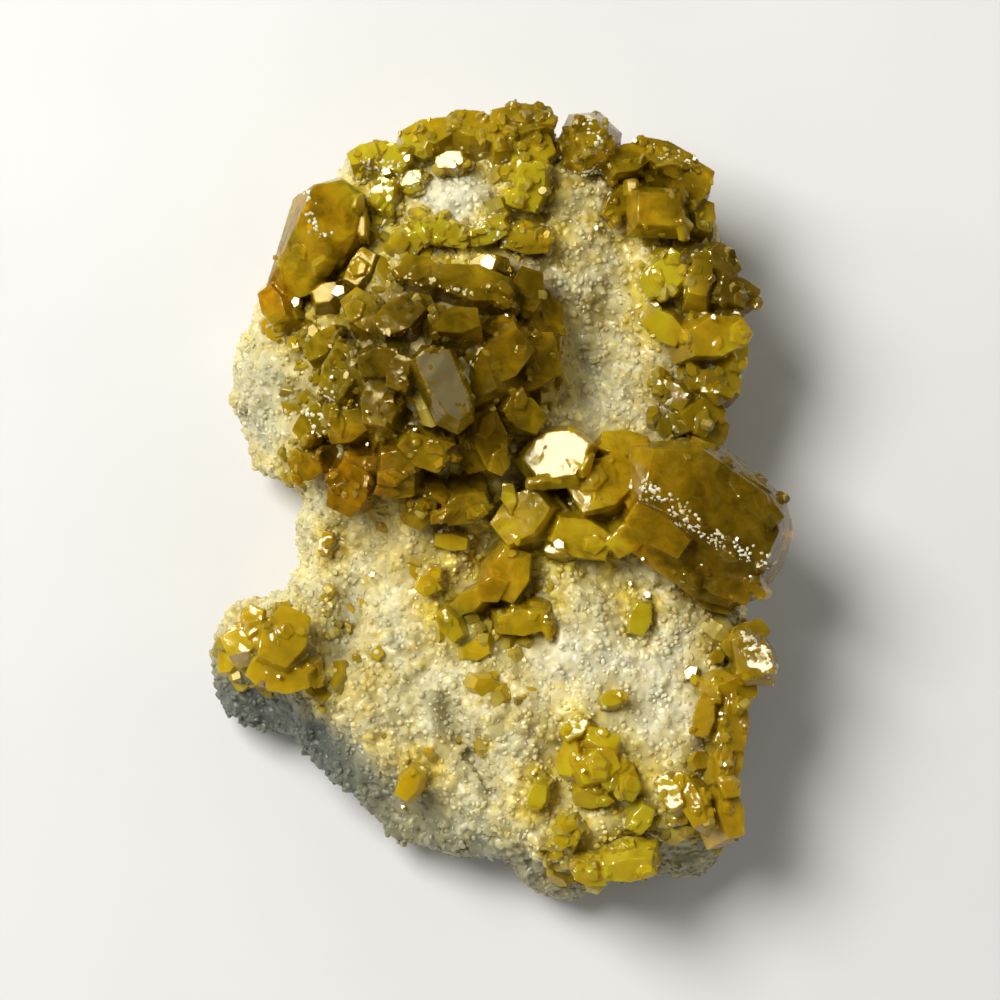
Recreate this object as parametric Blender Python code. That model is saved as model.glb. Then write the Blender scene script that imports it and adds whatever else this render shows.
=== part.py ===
"""Barite specimen: golden tabular crystals on a rounded piece of pale druse-covered rock.

The specimen lies on its flat back. +Z is up, +Y runs from the lower lobe to the upper lobe, and the
origin is on the flat back, under the waist between the lobes. Sizes are in millimetres until MM.
"""

import math
import random
from collections import namedtuple

import bmesh
import bpy
from mathutils import Euler, Matrix, Vector, noise
from mathutils.geometry import delaunay_2d_cdt
from mathutils.geometry import normal as face_normal

MM = 0.001

# Driving sizes of the rock
SPECIMEN_HEIGHT = 60.0  # along Y, from the lower edge to the upper one
ROCK_LEVEL = 10.0  # general height of the rock's front above its back
GRAIN = 2.3  # spacing of the points of the druse
SIDE_RINGS = 6  # rows of those points down the sides
GRAIN_PEAK = 0.6  # how far the tip of a druse point stands out
GRAIN_JITTER = 0.3  # sideways wander of a point, as a share of GRAIN
RIM_ROLL = 2.6  # width of the rounding along the edge of the front
RIM_DROP = 1.7  # how far that rounding falls
WIDEST_AT = 0.62  # share of the way down the side where the rock is widest
UNDERCUT = 1.6  # how far the side draws in below its widest line
SIDE_LUMP = 1.6  # how far the lumps of the sides stand out or in
SIDE_LUMP_SPAN = 4.5  # and how wide they are
MIDDLE = (0.0, 0.35)  # middle of the whole specimen, in the coordinates used below
ROOT_GAP = 0.32  # space between a crystal and the pocket that it grows from

# Outline of the rock at its widest, anticlockwise from the right-hand notch
OUTLINE = [
    (16.9, 1.9), (16.8, 5.4), (17.3, 8.4), (18.1, 11.5), (18.2, 14.5), (18.4, 17.2), (17.5, 19.8),
    (15.8, 22.8), (14.4, 25.5), (11.4, 27.2), (7.9, 28.4), (4.1, 29.0), (0.7, 29.3), (-2.7, 29.6),
    (-5.8, 28.8), (-8.6, 27.8), (-11.4, 26.3), (-14.0, 23.6), (-16.0, 20.5), (-17.5, 17.6),
    (-19.2, 14.2), (-20.6, 11.1), (-20.5, 8.1), (-19.4, 5.4), (-17.3, 2.9), (-15.8, 0.8),
    (-16.2, -1.9), (-16.2, -4.5), (-16.9, -6.6), (-19.2, -8.0), (-21.3, -9.9), (-22.4, -12.0),
    (-21.3, -14.3), (-18.2, -16.6), (-14.6, -19.4), (-10.8, -22.1), (-6.9, -24.4), (-3.1, -26.1),
    (0.3, -27.3), (3.4, -28.8), (7.6, -29.1), (12.1, -28.2), (16.1, -27.3), (18.1, -25.4),
    (17.9, -22.1), (17.7, -19.0), (18.1, -16.0), (18.4, -13.7), (19.2, -10.7), (19.0, -7.6),
    (17.9, -3.8), (16.9, -0.7),
]  # fmt: skip

# How far the front's edge stands in from the outline: (direction in degrees, inset)
SHOULDERS = [
    (0, 1.0), (90, 0.9), (150, 1.8), (190, 2.2), (215, 3.4), (245, 3.2), (275, 2.0), (300, 2.4), (330, 1.2),
]  # fmt: skip

# Swells and hollows of the front: (x, y, half width, half height, rise)
SWELLS = [
    (-2.0, 15.0, 14.0, 12.0, 4.2),  # upper lobe
    (7.5, 13.0, 5.5, 7.5, -3.4),  # bare bowl beside the rosette
    (15.5, 17.0, 3.5, 7.0, 1.4),  # right-hand rim
    (3.0, 25.0, 10.0, 3.0, 1.2),  # upper rim
    (-4.2, 23.4, 3.6, 1.7, 1.1),  # bare swell behind that rim
    (-5.6, 8.6, 6.6, 6.8, 8.0),  # knoll that carries the rosette
    (-17.5, 7.0, 4.0, 5.0, -2.2),  # left flank
    (-12.5, -3.0, 5.0, 4.0, -2.2),  # dip at the waist
    (4.0, -17.0, 12.0, 9.0, 1.8),  # lower lobe
    (9.0, -1.0, 8.0, 3.5, 1.4),  # ridge under the central crystals
    (-18.5, -11.5, 4.0, 3.0, 0.8),  # left-hand corner
]

# Grooves of the front: (start, end, half width, depth)
GROOVES = [
    ((-4.2, -15.6), (-0.6, -22.6), 0.9, 1.1),
    ((-11.4, -7.0), (-11.8, -11.0), 1.3, 0.8),
]

# A tablet crystal: x and y of its middle, its lift above the rock, its length, width and thickness,
# the heading of its length, and the lean of its face, in degrees, and towards where. top is the share
# of its length and of its width that is left at its face.
Tablet = namedtuple("Tablet", "x y lift size heading lean toward top", defaults=((0.72, 0.66),))
BLOCK = (0.9, 0.86)
PLATE = (0.94, 0.92)

# A block crystal, given by its corners: those of its face, of its widest line and of its root, each
# with its height above the back of the rock. The corners of the face are brought onto one plane.
Block = namedtuple("Block", "face waist root")

DARK_CRYSTAL = Block(
    face=[
        (11.0, 0.8, 17.0), (14.4, -1.7, 17.9), (20.1, -5.0, 16.4), (21.2, -2.6, 15.3),
        (20.2, 0.2, 15.9), (15.4, 3.6, 16.9), (11.6, 3.5, 16.6),
    ],
    waist=[
        (9.3, 4.3, 13.2), (15.2, 4.8, 12.8), (17.2, 4.1, 13.2), (21.8, 0.3, 13.0), (22.5, -2.3, 12.7),
        (21.7, -5.0, 12.4), (19.9, -7.5, 12.0), (17.6, -8.3, 12.0), (14.9, -7.5, 12.3), (11.2, -4.9, 12.8),
        (9.4, -3.6, 13.0),
    ],
    root=[(12.0, 2.6, 8.2), (18.0, 1.2, 8.2), (19.6, -3.2, 8.2), (17.4, -5.8, 8.2), (12.6, -2.6, 8.2)],
)  # fmt: skip
MIRROR_CRYSTAL = Block(
    face=[
        (1.6, 3.0, 15.7), (3.1, 4.9, 15.9), (5.4, 5.0, 16.5), (6.9, 3.9, 17.0), (5.7, 1.6, 16.9),
        (3.1, 1.2, 16.3),
    ],
    waist=[
        (0.9, 3.0, 14.0), (2.8, 5.5, 13.6), (5.8, 5.7, 13.8), (7.6, 4.0, 14.4), (6.1, 0.9, 14.6),
        (2.7, 0.5, 14.4),
    ],
    root=[(2.2, 3.0, 10.4), (5.8, 4.2, 10.4), (5.8, 1.6, 10.4), (3.0, 1.2, 10.4)],
)  # fmt: skip
EDGE_ON_CRYSTAL = Block(
    face=[
        (-14.2, 23.8, 16.7), (-12.0, 24.2, 16.5), (-10.8, 22.9, 16.2), (-11.0, 20.3, 15.9),
        (-12.7, 19.1, 15.8), (-14.5, 19.6, 16.0), (-15.1, 21.8, 16.4),
    ],
    waist=[
        (-15.9, 23.2, 13.4), (-17.0, 19.6, 12.8), (-18.1, 16.2, 12.2), (-17.3, 14.9, 12.6),
        (-14.8, 15.6, 13.8), (-12.0, 17.9, 14.4), (-10.2, 20.0, 14.6), (-10.3, 23.4, 14.0),
        (-12.2, 24.9, 13.2),
    ],
    root=[(-15.0, 21.8, 9.0), (-15.6, 17.6, 9.0), (-12.8, 18.6, 9.6), (-12.0, 22.2, 9.6)],
)  # fmt: skip
PEAK_CRYSTAL = Block(
    face=[(6.0, 29.2, 15.2), (7.4, 29.0, 15.6), (8.1, 27.4, 16.4), (6.4, 26.6, 16.6)],
    waist=[
        (4.4, 27.8, 12.6), (5.3, 30.0, 11.8), (7.7, 30.2, 11.8), (9.4, 28.4, 12.4), (9.2, 26.0, 13.2),
        (6.6, 24.7, 13.8), (4.7, 25.7, 13.4),
    ],
    root=[(5.6, 28.2, 8.6), (7.8, 28.0, 8.6), (7.6, 26.0, 8.6), (5.8, 26.0, 8.6)],
)  # fmt: skip
GOLD_FACE_CRYSTAL = Block(
    face=[(10.6, 23.4, 15.3), (13.8, 23.2, 15.2), (13.7, 20.8, 15.6), (10.5, 20.9, 15.8)],
    waist=[(9.7, 24.2, 13.6), (14.5, 24.0, 13.4), (14.5, 20.0, 13.8), (9.7, 20.1, 14.0)],
    root=[(10.8, 23.0, 10.0), (13.4, 23.0, 10.0), (13.4, 21.2, 10.0), (10.8, 21.2, 10.0)],
)  # fmt: skip
GREY_FACE_CRYSTAL = Block(
    face=[
        (-6.3, 9.6, 24.6), (-5.6, 10.3, 24.6), (-3.8, 10.2, 24.7), (-2.3, 6.8, 24.7), (-2.2, 5.6, 24.6),
        (-3.0, 4.9, 24.5), (-4.0, 5.5, 24.4), (-5.9, 8.5, 24.4),
    ],
    waist=[
        (-7.0, 9.4, 22.2), (-5.9, 10.9, 22.2), (-3.4, 10.6, 22.2), (-1.9, 6.9, 22.4), (-1.9, 5.1, 22.2),
        (-3.2, 4.1, 22.2), (-4.9, 4.9, 22.2),
    ],
    root=[(-6.4, 9.0, 18.0), (-3.6, 9.8, 18.0), (-2.6, 6.2, 18.0), (-4.6, 5.5, 18.0)],
)  # fmt: skip
GLINT_CRYSTAL = Block(
    face=[(18.3, -10.8, 14.0), (20.3, -11.2, 14.5), (20.9, -13.2, 14.8), (19.0, -13.4, 14.4)],
    waist=[
        (17.6, -10.1, 12.6), (20.2, -10.2, 12.0), (21.3, -12.0, 11.9), (20.9, -14.2, 12.4),
        (18.3, -14.2, 13.0),
    ],
    root=[(17.6, -11.0, 9.4), (19.4, -11.2, 9.4), (19.4, -13.2, 9.4), (17.8, -13.0, 9.4)],
)  # fmt: skip

ROSETTE = [
    GREY_FACE_CRYSTAL,
    Tablet(-5.2, 8.6, -3.6, (13.0, 12.0, 4.6), 20, 6, 200),  # the heart that the others grow from
    Tablet(1.0, 10.4, -1.2, (8.0, 7.8, 4.6), 15, 22, -10),
    Tablet(-0.2, 10.4, 1.2, (6.4, 5.6, 3.0), 40, 20, -30),
    Tablet(2.7, 11.4, 1.6, (6.4, 5.2, 1.5), 80, 50, 5, PLATE),
    Tablet(3.3, 10.2, 1.2, (5.8, 4.6, 1.4), 95, 64, -10, PLATE),
    Tablet(3.1, 13.8, 1.0, (4.4, 4.0, 1.6), 60, 48, 25, PLATE),
    Tablet(-2.0, 15.6, 1.0, (7.2, 4.8, 3.8), -12, 13, 80),
    Tablet(-0.9, 17.5, 1.4, (3.0, 2.8, 3.0), 10, 15, 159),
    Tablet(1.6, 15.2, 0.7, (5.0, 4.4, 3.8), 75, 26, 50),
    Tablet(-1.4, 4.6, 1.0, (6.2, 4.4, 4.0), -72, 26, -30),
    Tablet(1.0, 6.5, 1.0, (5.0, 4.2, 3.6), -30, 34, -20),
    Tablet(-2.8, 0.1, 1.0, (4.8, 4.4, 3.6), 20, 34, -75),
    Tablet(-6.0, 0.0, 0.8, (4.6, 4.0, 3.4), 65, 34, -95),
    Tablet(-11.0, 1.5, 1.5, (5.8, 5.4, 4.2), 65, 32, -125),
    Tablet(-7.6, 2.4, 1.2, (5.4, 4.4, 3.6), 100, 30, -100),
    Tablet(-11.6, 9.4, 0.8, (5.8, 4.8, 3.4), 70, 26, 170),
    Tablet(-13.7, 6.0, 0.6, (4.6, 4.0, 3.0), 40, 34, -165),
    Tablet(-14.2, 3.0, 0.7, (4.2, 3.8, 3.0), 10, 36, -150),
    Tablet(-7.4, 12.9, 1.3, (5.2, 4.6, 3.4), 35, 16, 115),
    Tablet(-8.7, 6.9, 1.5, (5.2, 4.6, 3.6), 80, 16, 190),
    Tablet(-11.0, 5.6, 1.1, (4.8, 4.2, 3.4), 20, 26, 200),
    Tablet(-5.9, 16.4, 0.9, (4.6, 4.2, 3.2), -30, 22, 105),
    Tablet(-10.0, 13.6, 0.9, (5.0, 4.2, 3.2), -50, 24, 140),
    Tablet(-13.0, 11.6, 0.6, (4.4, 3.4, 2.8), 30, 30, 160),
    Tablet(-5.6, 3.6, 1.6, (4.8, 4.2, 3.4), -35, 22, -95),
    Tablet(-8.8, 9.8, 1.6, (4.4, 3.8, 3.2), 10, 14, 220),
    Tablet(-3.4, 12.3, 2.2, (4.6, 3.6, 3.6), 10, 16, 60),
    Tablet(-7.2, 8.9, 0.9, (3.6, 3.0, 3.4), 70, 16, 200),
]

CENTRAL_BAND = [
    MIRROR_CRYSTAL,
    DARK_CRYSTAL,
    Tablet(12.4, -2.0, 3.4, (5.6, 3.4, 4.4), -36, 22, -125, BLOCK),  # its lower ledge
    Tablet(17.2, -5.2, 2.4, (6.2, 3.6, 4.6), -30, 26, -118, BLOCK),
    Tablet(18.9, -0.8, 4.2, (5.4, 3.4, 3.0), -48, 34, 44, BLOCK),  # its outer bevel
    Tablet(1.9, -1.2, 1.4, (6.0, 5.6, 4.0), 40, 12, 200),
    Tablet(8.0, 0.9, 2.0, (5.6, 5.0, 4.2), 30, 10, 120, BLOCK),
    Tablet(6.2, -2.6, 1.3, (6.2, 5.0, 3.8), -20, 14, -80),
    Tablet(9.4, 3.7, 1.5, (5.0, 3.6, 3.6), -5, 20, 80),
    Tablet(4.6, -3.6, 0.9, (2.6, 2.2, 2.6), 0, 15, 159),
    Tablet(9.7, -2.6, 1.2, (4.4, 3.8, 3.6), 40, 14, -70),
    Tablet(16.2, -7.2, 0.4, (4.2, 3.0, 3.0), -25, 20, -60),
    Tablet(0.6, -5.4, 1.1, (5.6, 5.2, 3.6), 70, 10, -60),
    Tablet(1.7, -9.0, 0.6, (5.2, 3.4, 2.8), 5, 16, -80),
    Tablet(-2.2, -7.6, 0.6, (3.4, 2.8, 2.6), 30, 18, -150),
    Tablet(-3.7, -9.4, 0.4, (3.4, 2.6, 2.4), -55, 14, -130),
]

UPPER_LEFT = [
    EDGE_ON_CRYSTAL,
    Tablet(-15.2, 22.0, 1.2, (3.4, 2.8, 1.2), 72, 62, 165, PLATE),
    Tablet(-16.8, 14.9, 0.8, (4.2, 3.4, 2.8), -60, 32, 175),
    Tablet(-13.0, 15.6, 0.8, (4.0, 3.4, 2.8), 20, 15, 159, (0.5, 0.5)),
    Tablet(-10.4, 17.4, 0.5, (4.0, 3.2, 2.6), 60, 18, 140),
]

UPPER_RIM = [
    Tablet(-5.6, 27.6, 0.8, (5.2, 4.2, 3.4), 20, 25, 100),
    Tablet(-2.0, 28.2, 0.9, (5.0, 4.2, 3.4), -15, 28, 90),
    Tablet(-3.6, 25.9, 0.8, (3.0, 2.4, 2.6), 10, 15, 159),
    Tablet(-8.3, 26.0, 0.6, (4.4, 3.8, 3.0), -30, 24, 120),
    Tablet(-10.2, 26.2, 0.5, (3.2, 2.8, 2.8), 20, 24, 130),
    Tablet(-8.8, 23.3, 0.5, (3.6, 3.2, 2.8), 65, 15, 150),
    Tablet(-6.6, 24.6, 0.5, (2.5, 2.1, 2.4), 15, 15, 159),
    Tablet(0.4, 27.6, 0.8, (3.4, 3.0, 2.8), 30, 26, 90),
    Tablet(2.4, 24.2, 0.9, (5.0, 3.8, 3.2), 78, 16, -100),
    Tablet(1.7, 28.7, 1.1, (5.2, 3.6, 3.0), 4, 28, 92, BLOCK),
    Tablet(2.6, 26.6, 0.8, (3.2, 2.8, 2.8), 20, 14, 60, BLOCK),
]

BOWL_EDGE = [
    Tablet(-4.3, 20.5, 0.5, (5.2, 3.0, 2.8), -20, 16, -70),
    Tablet(-1.0, 20.6, 0.4, (4.0, 2.6, 2.6), 20, 20, -80),
    Tablet(2.0, 20.1, 0.5, (4.8, 3.2, 2.8), -8, 18, -80),
    Tablet(-6.8, 19.7, 0.4, (3.8, 2.8, 2.6), 35, 20, -100),
]

UPPER_RIGHT = [
    PEAK_CRYSTAL,
    GOLD_FACE_CRYSTAL,
    Tablet(9.6, 26.0, 0.8, (4.6, 3.8, 3.2), 25, 20, 40),
    Tablet(12.4, 26.1, 1.0, (6.4, 3.8, 3.4), -20, 24, 70),
    Tablet(14.5, 23.9, 0.9, (5.0, 4.4, 3.6), 60, 24, 45),
    Tablet(15.2, 21.7, 0.7, (3.4, 3.0, 2.8), 80, 28, 20),
    Tablet(9.0, 23.0, 0.4, (3.8, 3.2, 2.6), 55, 12, -60),
    Tablet(14.1, 25.5, 0.4, (3.4, 2.8, 2.6), -50, 34, 60),
]

RIGHT_RIM = [
    Tablet(12.8, 17.2, 0.8, (5.0, 4.4, 3.2), 30, 14, -150),
    Tablet(16.6, 18.1, 0.7, (3.8, 3.6, 3.2), -50, 28, 20),
    Tablet(17.5, 16.0, 0.6, (5.0, 3.8, 3.4), -15, 32, 0),
    Tablet(15.3, 16.6, 0.9, (4.0, 3.4, 3.0), 80, 14, 90),
    Tablet(12.8, 13.6, 0.9, (4.4, 3.8, 3.2), -35, 15, 230),
    Tablet(16.2, 12.7, 1.2, (6.0, 5.2, 4.0), 15, 16, -20),
    Tablet(17.6, 11.6, 0.4, (4.6, 3.0, 2.8), 78, 38, 0),
    Tablet(16.5, 9.0, 0.6, (4.4, 3.4, 3.0), -10, 26, 10),
    Tablet(15.2, 6.9, 0.7, (4.8, 3.8, 3.0), 25, 20, -20),
    Tablet(13.4, 8.2, 0.5, (3.8, 3.2, 2.6), -35, 12, 190),
    Tablet(16.2, 5.2, 0.3, (3.4, 2.8, 2.6), 60, 26, 0),
]

LEFT_CORNER = [
    Tablet(-19.2, -10.6, 0.8, (4.6, 4.0, 3.2), 25, 18, 170),
    Tablet(-16.6, -10.8, 1.2, (5.0, 4.6, 3.6), 65, 12, 60, BLOCK),
    Tablet(-16.0, -13.4, 0.9, (4.6, 3.6, 3.0), 5, 20, -120),
    Tablet(-17.8, -12.6, 0.8, (3.8, 3.2, 2.8), 50, 20, -160),
]

YELLOW_BALL = [
    Tablet(7.3, -20.4, 1.2, (4.4, 4.0, 3.4), 25, 6, 0),
    Tablet(5.8, -19.9, 0.7, (3.6, 3.2, 2.8), 80, 30, 170),
    Tablet(8.7, -20.9, 0.7, (3.6, 3.0, 2.8), 60, 32, -20),
    Tablet(7.0, -22.1, 0.7, (3.6, 3.0, 2.8), 0, 32, -95),
    Tablet(7.8, -18.8, 0.7, (3.4, 2.8, 2.6), -20, 28, 85),
    Tablet(5.8, -17.6, 0.5, (3.0, 2.6, 2.4), 40, 12, 130),
]

RIGHT_EDGE = [
    GLINT_CRYSTAL,
    Tablet(19.0, -10.4, 0.7, (3.2, 3.2, 3.0), 40, 26, 30),
    Tablet(17.6, -14.4, 0.7, (4.6, 3.6, 3.0), 10, 24, -20),
    Tablet(17.4, -17.2, 0.7, (5.4, 3.8, 3.4), 86, 22, 0),
    Tablet(15.8, -16.6, 0.5, (4.0, 2.8, 2.6), 80, 14, 200),
    Tablet(17.1, -20.2, 0.6, (4.6, 3.4, 3.0), 72, 22, 10),
    Tablet(15.0, -23.0, 1.0, (5.4, 3.0, 3.4), -66, 18, 190),
    Tablet(17.0, -23.8, 0.8, (5.4, 3.6, 3.4), -78, 24, 0),
    Tablet(13.2, -22.4, 0.6, (3.8, 2.8, 2.6), -60, 16, 170),
]

LOWER_EDGE = [
    Tablet(9.9, -27.6, 0.7, (4.8, 3.4, 3.0), 8, 26, -90),
    Tablet(7.0, -28.2, 0.4, (3.4, 2.6, 2.4), -10, 30, -95),
]

# Single small crystals, each alone in the druse
SINGLES = {
    "single_low_centre": Tablet(2.9, -22.6, 0.5, (2.8, 2.4, 2.2), 70, 12, -120),
    "single_low_right": Tablet(10.7, -24.2, 0.6, (3.0, 2.6, 2.4), 60, 14, -60),
    "single_low_left": Tablet(5.2, -25.4, 0.4, (3.0, 2.7, 2.2), 40, 16, -110),
    "single_right": Tablet(10.6, -8.9, 0.4, (3.4, 2.9, 2.4), 75, 10, -30),
    "single_waist_low": Tablet(-5.1, -6.0, 0.4, (2.6, 2.2, 2.0), 80, 8, -90),
    "single_waist_high": Tablet(-3.7, -3.0, 0.4, (3.4, 2.2, 2.0), -8, 12, -100),
    "single_left": Tablet(-13.3, -2.9, 0.3, (2.3, 1.9, 1.8), 75, 10, 180),
    "single_left_low": Tablet(-6.9, -21.6, 0.3, (3.2, 2.6, 2.0), 60, 14, -130),
    "single_mid_low": Tablet(8.5, -15.3, 0.3, (2.4, 2.1, 1.9), 20, 10, 60),
}

GROUPS = {
    "rosette": ROSETTE,
    "central_band": CENTRAL_BAND,
    "upper_left_crystals": UPPER_LEFT,
    "upper_rim_crystals": UPPER_RIM,
    "bowl_edge_crystals": BOWL_EDGE,
    "upper_right_crystals": UPPER_RIGHT,
    "right_rim_crystals": RIGHT_RIM,
    "left_corner_crystals": LEFT_CORNER,
    "yellow_ball": YELLOW_BALL,
    "right_edge_crystals": RIGHT_EDGE,
    "lower_edge_crystals": LOWER_EDGE,
}


def smoothstep(share):
    share = min(1.0, max(0.0, share))
    return share * share * (3 - 2 * share)


def segment_distance(point, start, end):
    along = end - start
    share = min(1.0, max(0.0, (point - start).dot(along) / along.length_squared))
    return (point - start - along * share).length


def front_height(x, y):
    """Height of the rock's front above its back, before the rounding at the edge."""
    height = ROCK_LEVEL
    for cx, cy, half_x, half_y, rise in SWELLS:
        height += rise * math.exp(-(((x - cx) / half_x) ** 2) - ((y - cy) / half_y) ** 2)
    for start, end, half_width, depth in GROOVES:
        away = segment_distance(Vector((x, y)), Vector(start), Vector(end))
        height -= depth * math.exp(-((away / half_width) ** 2))
    lumps = noise.noise(Vector((x, y, 3.0)) / 5.5) * 1.3
    return height + lumps + noise.noise(Vector((x, y, 9.0)) / 2.3) * 0.45


def shoulder(point):
    """How far the front's edge stands in from the outline at this point of the outline."""
    direction = math.degrees(math.atan2(point.y, point.x)) % 360
    ends = SHOULDERS + [(SHOULDERS[0][0] + 360, SHOULDERS[0][1])]
    for (low, low_inset), (high, high_inset) in zip(ends, ends[1:]):
        if low <= direction <= high:
            return low_inset + (high_inset - low_inset) * smoothstep((direction - low) / (high - low))
    return SHOULDERS[0][1]


def smooth_loop(points, count):
    """count points evenly spaced along a closed smooth curve through points."""
    fine = []
    for i, start in enumerate(points):
        before, end, after = points[i - 1], points[(i + 1) % len(points)], points[(i + 2) % len(points)]
        for step in range(12):
            t = step / 12
            fine.append(
                0.5
                * (
                    2 * start
                    + (end - before) * t
                    + (2 * before - 5 * start + 4 * end - after) * t * t
                    + (3 * start - before - 3 * end + after) * t**3
                )
            )
    lengths = [0.0]
    for i, point in enumerate(fine):
        lengths.append(lengths[-1] + (fine[(i + 1) % len(fine)] - point).length)
    loop, at = [], 0
    for n in range(count):
        target = lengths[-1] * n / count
        while lengths[at + 1] < target:
            at += 1
        share = (target - lengths[at]) / (lengths[at + 1] - lengths[at])
        loop.append(fine[at].lerp(fine[(at + 1) % len(fine)], share))
    return loop


def outward_normals(loop):
    normals = []
    for i in range(len(loop)):
        along = loop[(i + 1) % len(loop)] - loop[i - 1]
        normals.append(Vector((along.y, -along.x)).normalized())
    return normals


def loop_distance(point, loop):
    return min(segment_distance(point, loop[i - 1], loop[i]) for i in range(len(loop)))


def inside(point, loop):
    crossings = 0
    for i, end in enumerate(loop):
        start = loop[i - 1]
        if (start.y > point.y) != (end.y > point.y):
            crossings += point.x < start.x + (point.y - start.y) * (end.x - start.x) / (end.y - start.y)
    return crossings % 2 == 1


def front_points(edge, spacing, wobble):
    """Points of an even net inside the front's edge, each with the one of the net's three sets it is in."""
    found = []
    row_height = spacing * math.sqrt(3) / 2
    rows = int(SPECIMEN_HEIGHT / 2 / row_height) + 1
    for row in range(-rows, rows + 1):
        for column in range(-rows, rows + 1):
            point = Vector(((column + (row % 2) / 2) * spacing, row * row_height))
            point += Vector((wobble.uniform(-1, 1), wobble.uniform(-1, 1))) * GRAIN_JITTER * spacing
            if inside(point, edge) and loop_distance(point, edge) > 0.6 * spacing:
                found.append((point, (column - row // 2 - row) % 3))
    return found


def rolled_height(point, edge):
    """Height of the front with the rounding along its edge."""
    share = min(1.0, loop_distance(point, edge) / RIM_ROLL)
    return front_height(*point) - RIM_DROP * (1 - math.sqrt(1 - (1 - share) ** 2))


def side_ring(edge, outline, normals, share):
    """The ring of the rock's side this share of the way from the front's edge down to the back."""
    ring = []
    for start, widest, normal in zip(edge, outline, normals):
        if share <= WIDEST_AT:
            place = start.lerp(widest, math.sin(math.pi / 2 * share / WIDEST_AT))
        else:
            place = widest - normal * UNDERCUT * ((share - WIDEST_AT) / (1 - WIDEST_AT)) ** 2
        top = front_height(*start) - RIM_DROP
        lump = noise.noise(Vector((place.x, place.y, 20 + top * share)) / SIDE_LUMP_SPAN)
        place = place + normal * SIDE_LUMP * lump * math.sin(math.pi * share)
        ring.append(Vector((place.x, place.y, top * (1 - share))))
    return ring


def rock():
    """The druse-covered rock: six-sided points all over its front and sides, and a flat back."""
    wobble = random.Random(7)
    perimeter = sum((Vector(OUTLINE[i]) - Vector(OUTLINE[i - 1])).length for i in range(len(OUTLINE)))
    around = 3 * round(perimeter / GRAIN / 3)
    outline = smooth_loop([Vector(p) for p in OUTLINE], around)
    normals = outward_normals(outline)
    edge = [point - point.normalized() * shoulder(point) for point in outline]
    front = front_points(edge, GRAIN, wobble)

    bm = bmesh.new()
    flat = edge + [point for point, _ in front]
    loop_edges = [(i, (i + 1) % around) for i in range(around)]
    placed, _, triangles, _, _, _ = delaunay_2d_cdt(flat, loop_edges, [], 1, 1e-6)
    verts = [bm.verts.new((p.x, p.y, rolled_height(p, edge))) for p in placed]
    peaks = {verts[around + i] for i, (_, part) in enumerate(front) if part == 0}
    bm.verts.index_update()
    for triangle in triangles:
        bm.faces.new([verts[i] for i in triangle])

    above = verts[:around]
    for row in range(1, SIDE_RINGS + 1):
        share = row / SIDE_RINGS
        ring = side_ring(edge, outline, normals, share)
        below = [None] * around
        for column in range(around):
            shifted = ring[column].lerp(ring[(column + 1) % around], (row % 2) / 2)
            below[column] = bm.verts.new(shifted)
            if row < SIDE_RINGS and (column - row // 2 - row) % 3 == 0:
                peaks.add(below[column])
        for column in range(around):
            following = (column + 1) % around
            if row % 2:
                bm.faces.new((above[column], below[column], above[following]))
                bm.faces.new((above[following], below[column], below[following]))
            else:
                bm.faces.new((above[column], below[column], below[following]))
                bm.faces.new((above[column], below[following], above[following]))
        above = below
    back = bm.faces.new(above)
    bmesh.ops.recalc_face_normals(bm, faces=bm.faces)

    bm.normal_update()
    back_ring = set(back.verts)
    shifts = {}
    for vert in bm.verts:
        if vert in back_ring:
            continue
        rise = GRAIN_PEAK * wobble.uniform(0.7, 1.4) if vert in peaks else -0.2 * wobble.random()
        sideways = Vector([wobble.uniform(-1, 1) for _ in range(3)]) * 0.18
        shifts[vert] = vert.normal * rise + sideways
    for vert, shift in shifts.items():
        vert.co += shift
        vert.co.z = max(vert.co.z, 0.5)
    return bm


def tablet_corners(tablet, grow=0.0):
    """The corners of a tablet: six at its root, and six at its face, drawn in by its top shares."""
    length, width, thick = (side / 2 + grow for side in tablet.size)
    outline = [(1.0, 0.6), (0.0, 0.92), (-1.0, 0.6), (-1.0, -0.6), (0.0, -0.92), (1.0, -0.6)]
    middle = Vector((tablet.x, tablet.y, front_height(tablet.x, tablet.y) + tablet.lift))
    turn = Matrix.Translation(middle) @ tablet_turn(tablet)
    return [
        turn @ Vector((x * length * share_x, y * width * share_y, level * thick))
        for level, (share_x, share_y) in ((-1, (1.0, 1.0)), (1, tablet.top))
        for x, y in outline
    ]


def level_with_plane(face):
    """These corners, each raised or lowered onto the plane that fits them all best."""
    corners = [Vector(corner) for corner in face]
    middle = sum(corners, Vector()) / len(corners)
    across = face_normal(corners)
    return [corner - Vector((0, 0, (corner - middle).dot(across) / across.z)) for corner in corners]


def block_corners(block, grow=0.0):
    """The corners of a block, moved out from its middle by grow."""
    corners = level_with_plane(block.face) + [Vector(corner) for corner in block.waist + block.root]
    middle = sum(corners, Vector()) / len(corners)
    return [corner + (corner - middle).normalized() * grow * 1.6 for corner in corners]


def crystal_bmesh(crystal, grow=0.0):
    """One crystal in place, as the hull of its corners, with its flat faces whole."""
    corners = tablet_corners if isinstance(crystal, Tablet) else block_corners
    bm = bmesh.new()
    verts = [bm.verts.new(corner) for corner in corners(crystal, grow)]
    bmesh.ops.convex_hull(bm, input=verts)
    loose = [vert for vert in bm.verts if not vert.link_faces]
    bmesh.ops.delete(bm, geom=loose, context="VERTS")
    bmesh.ops.dissolve_limit(bm, angle_limit=math.radians(1.5), verts=bm.verts, edges=bm.edges)
    bmesh.ops.recalc_face_normals(bm, faces=bm.faces)
    return bm


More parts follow.
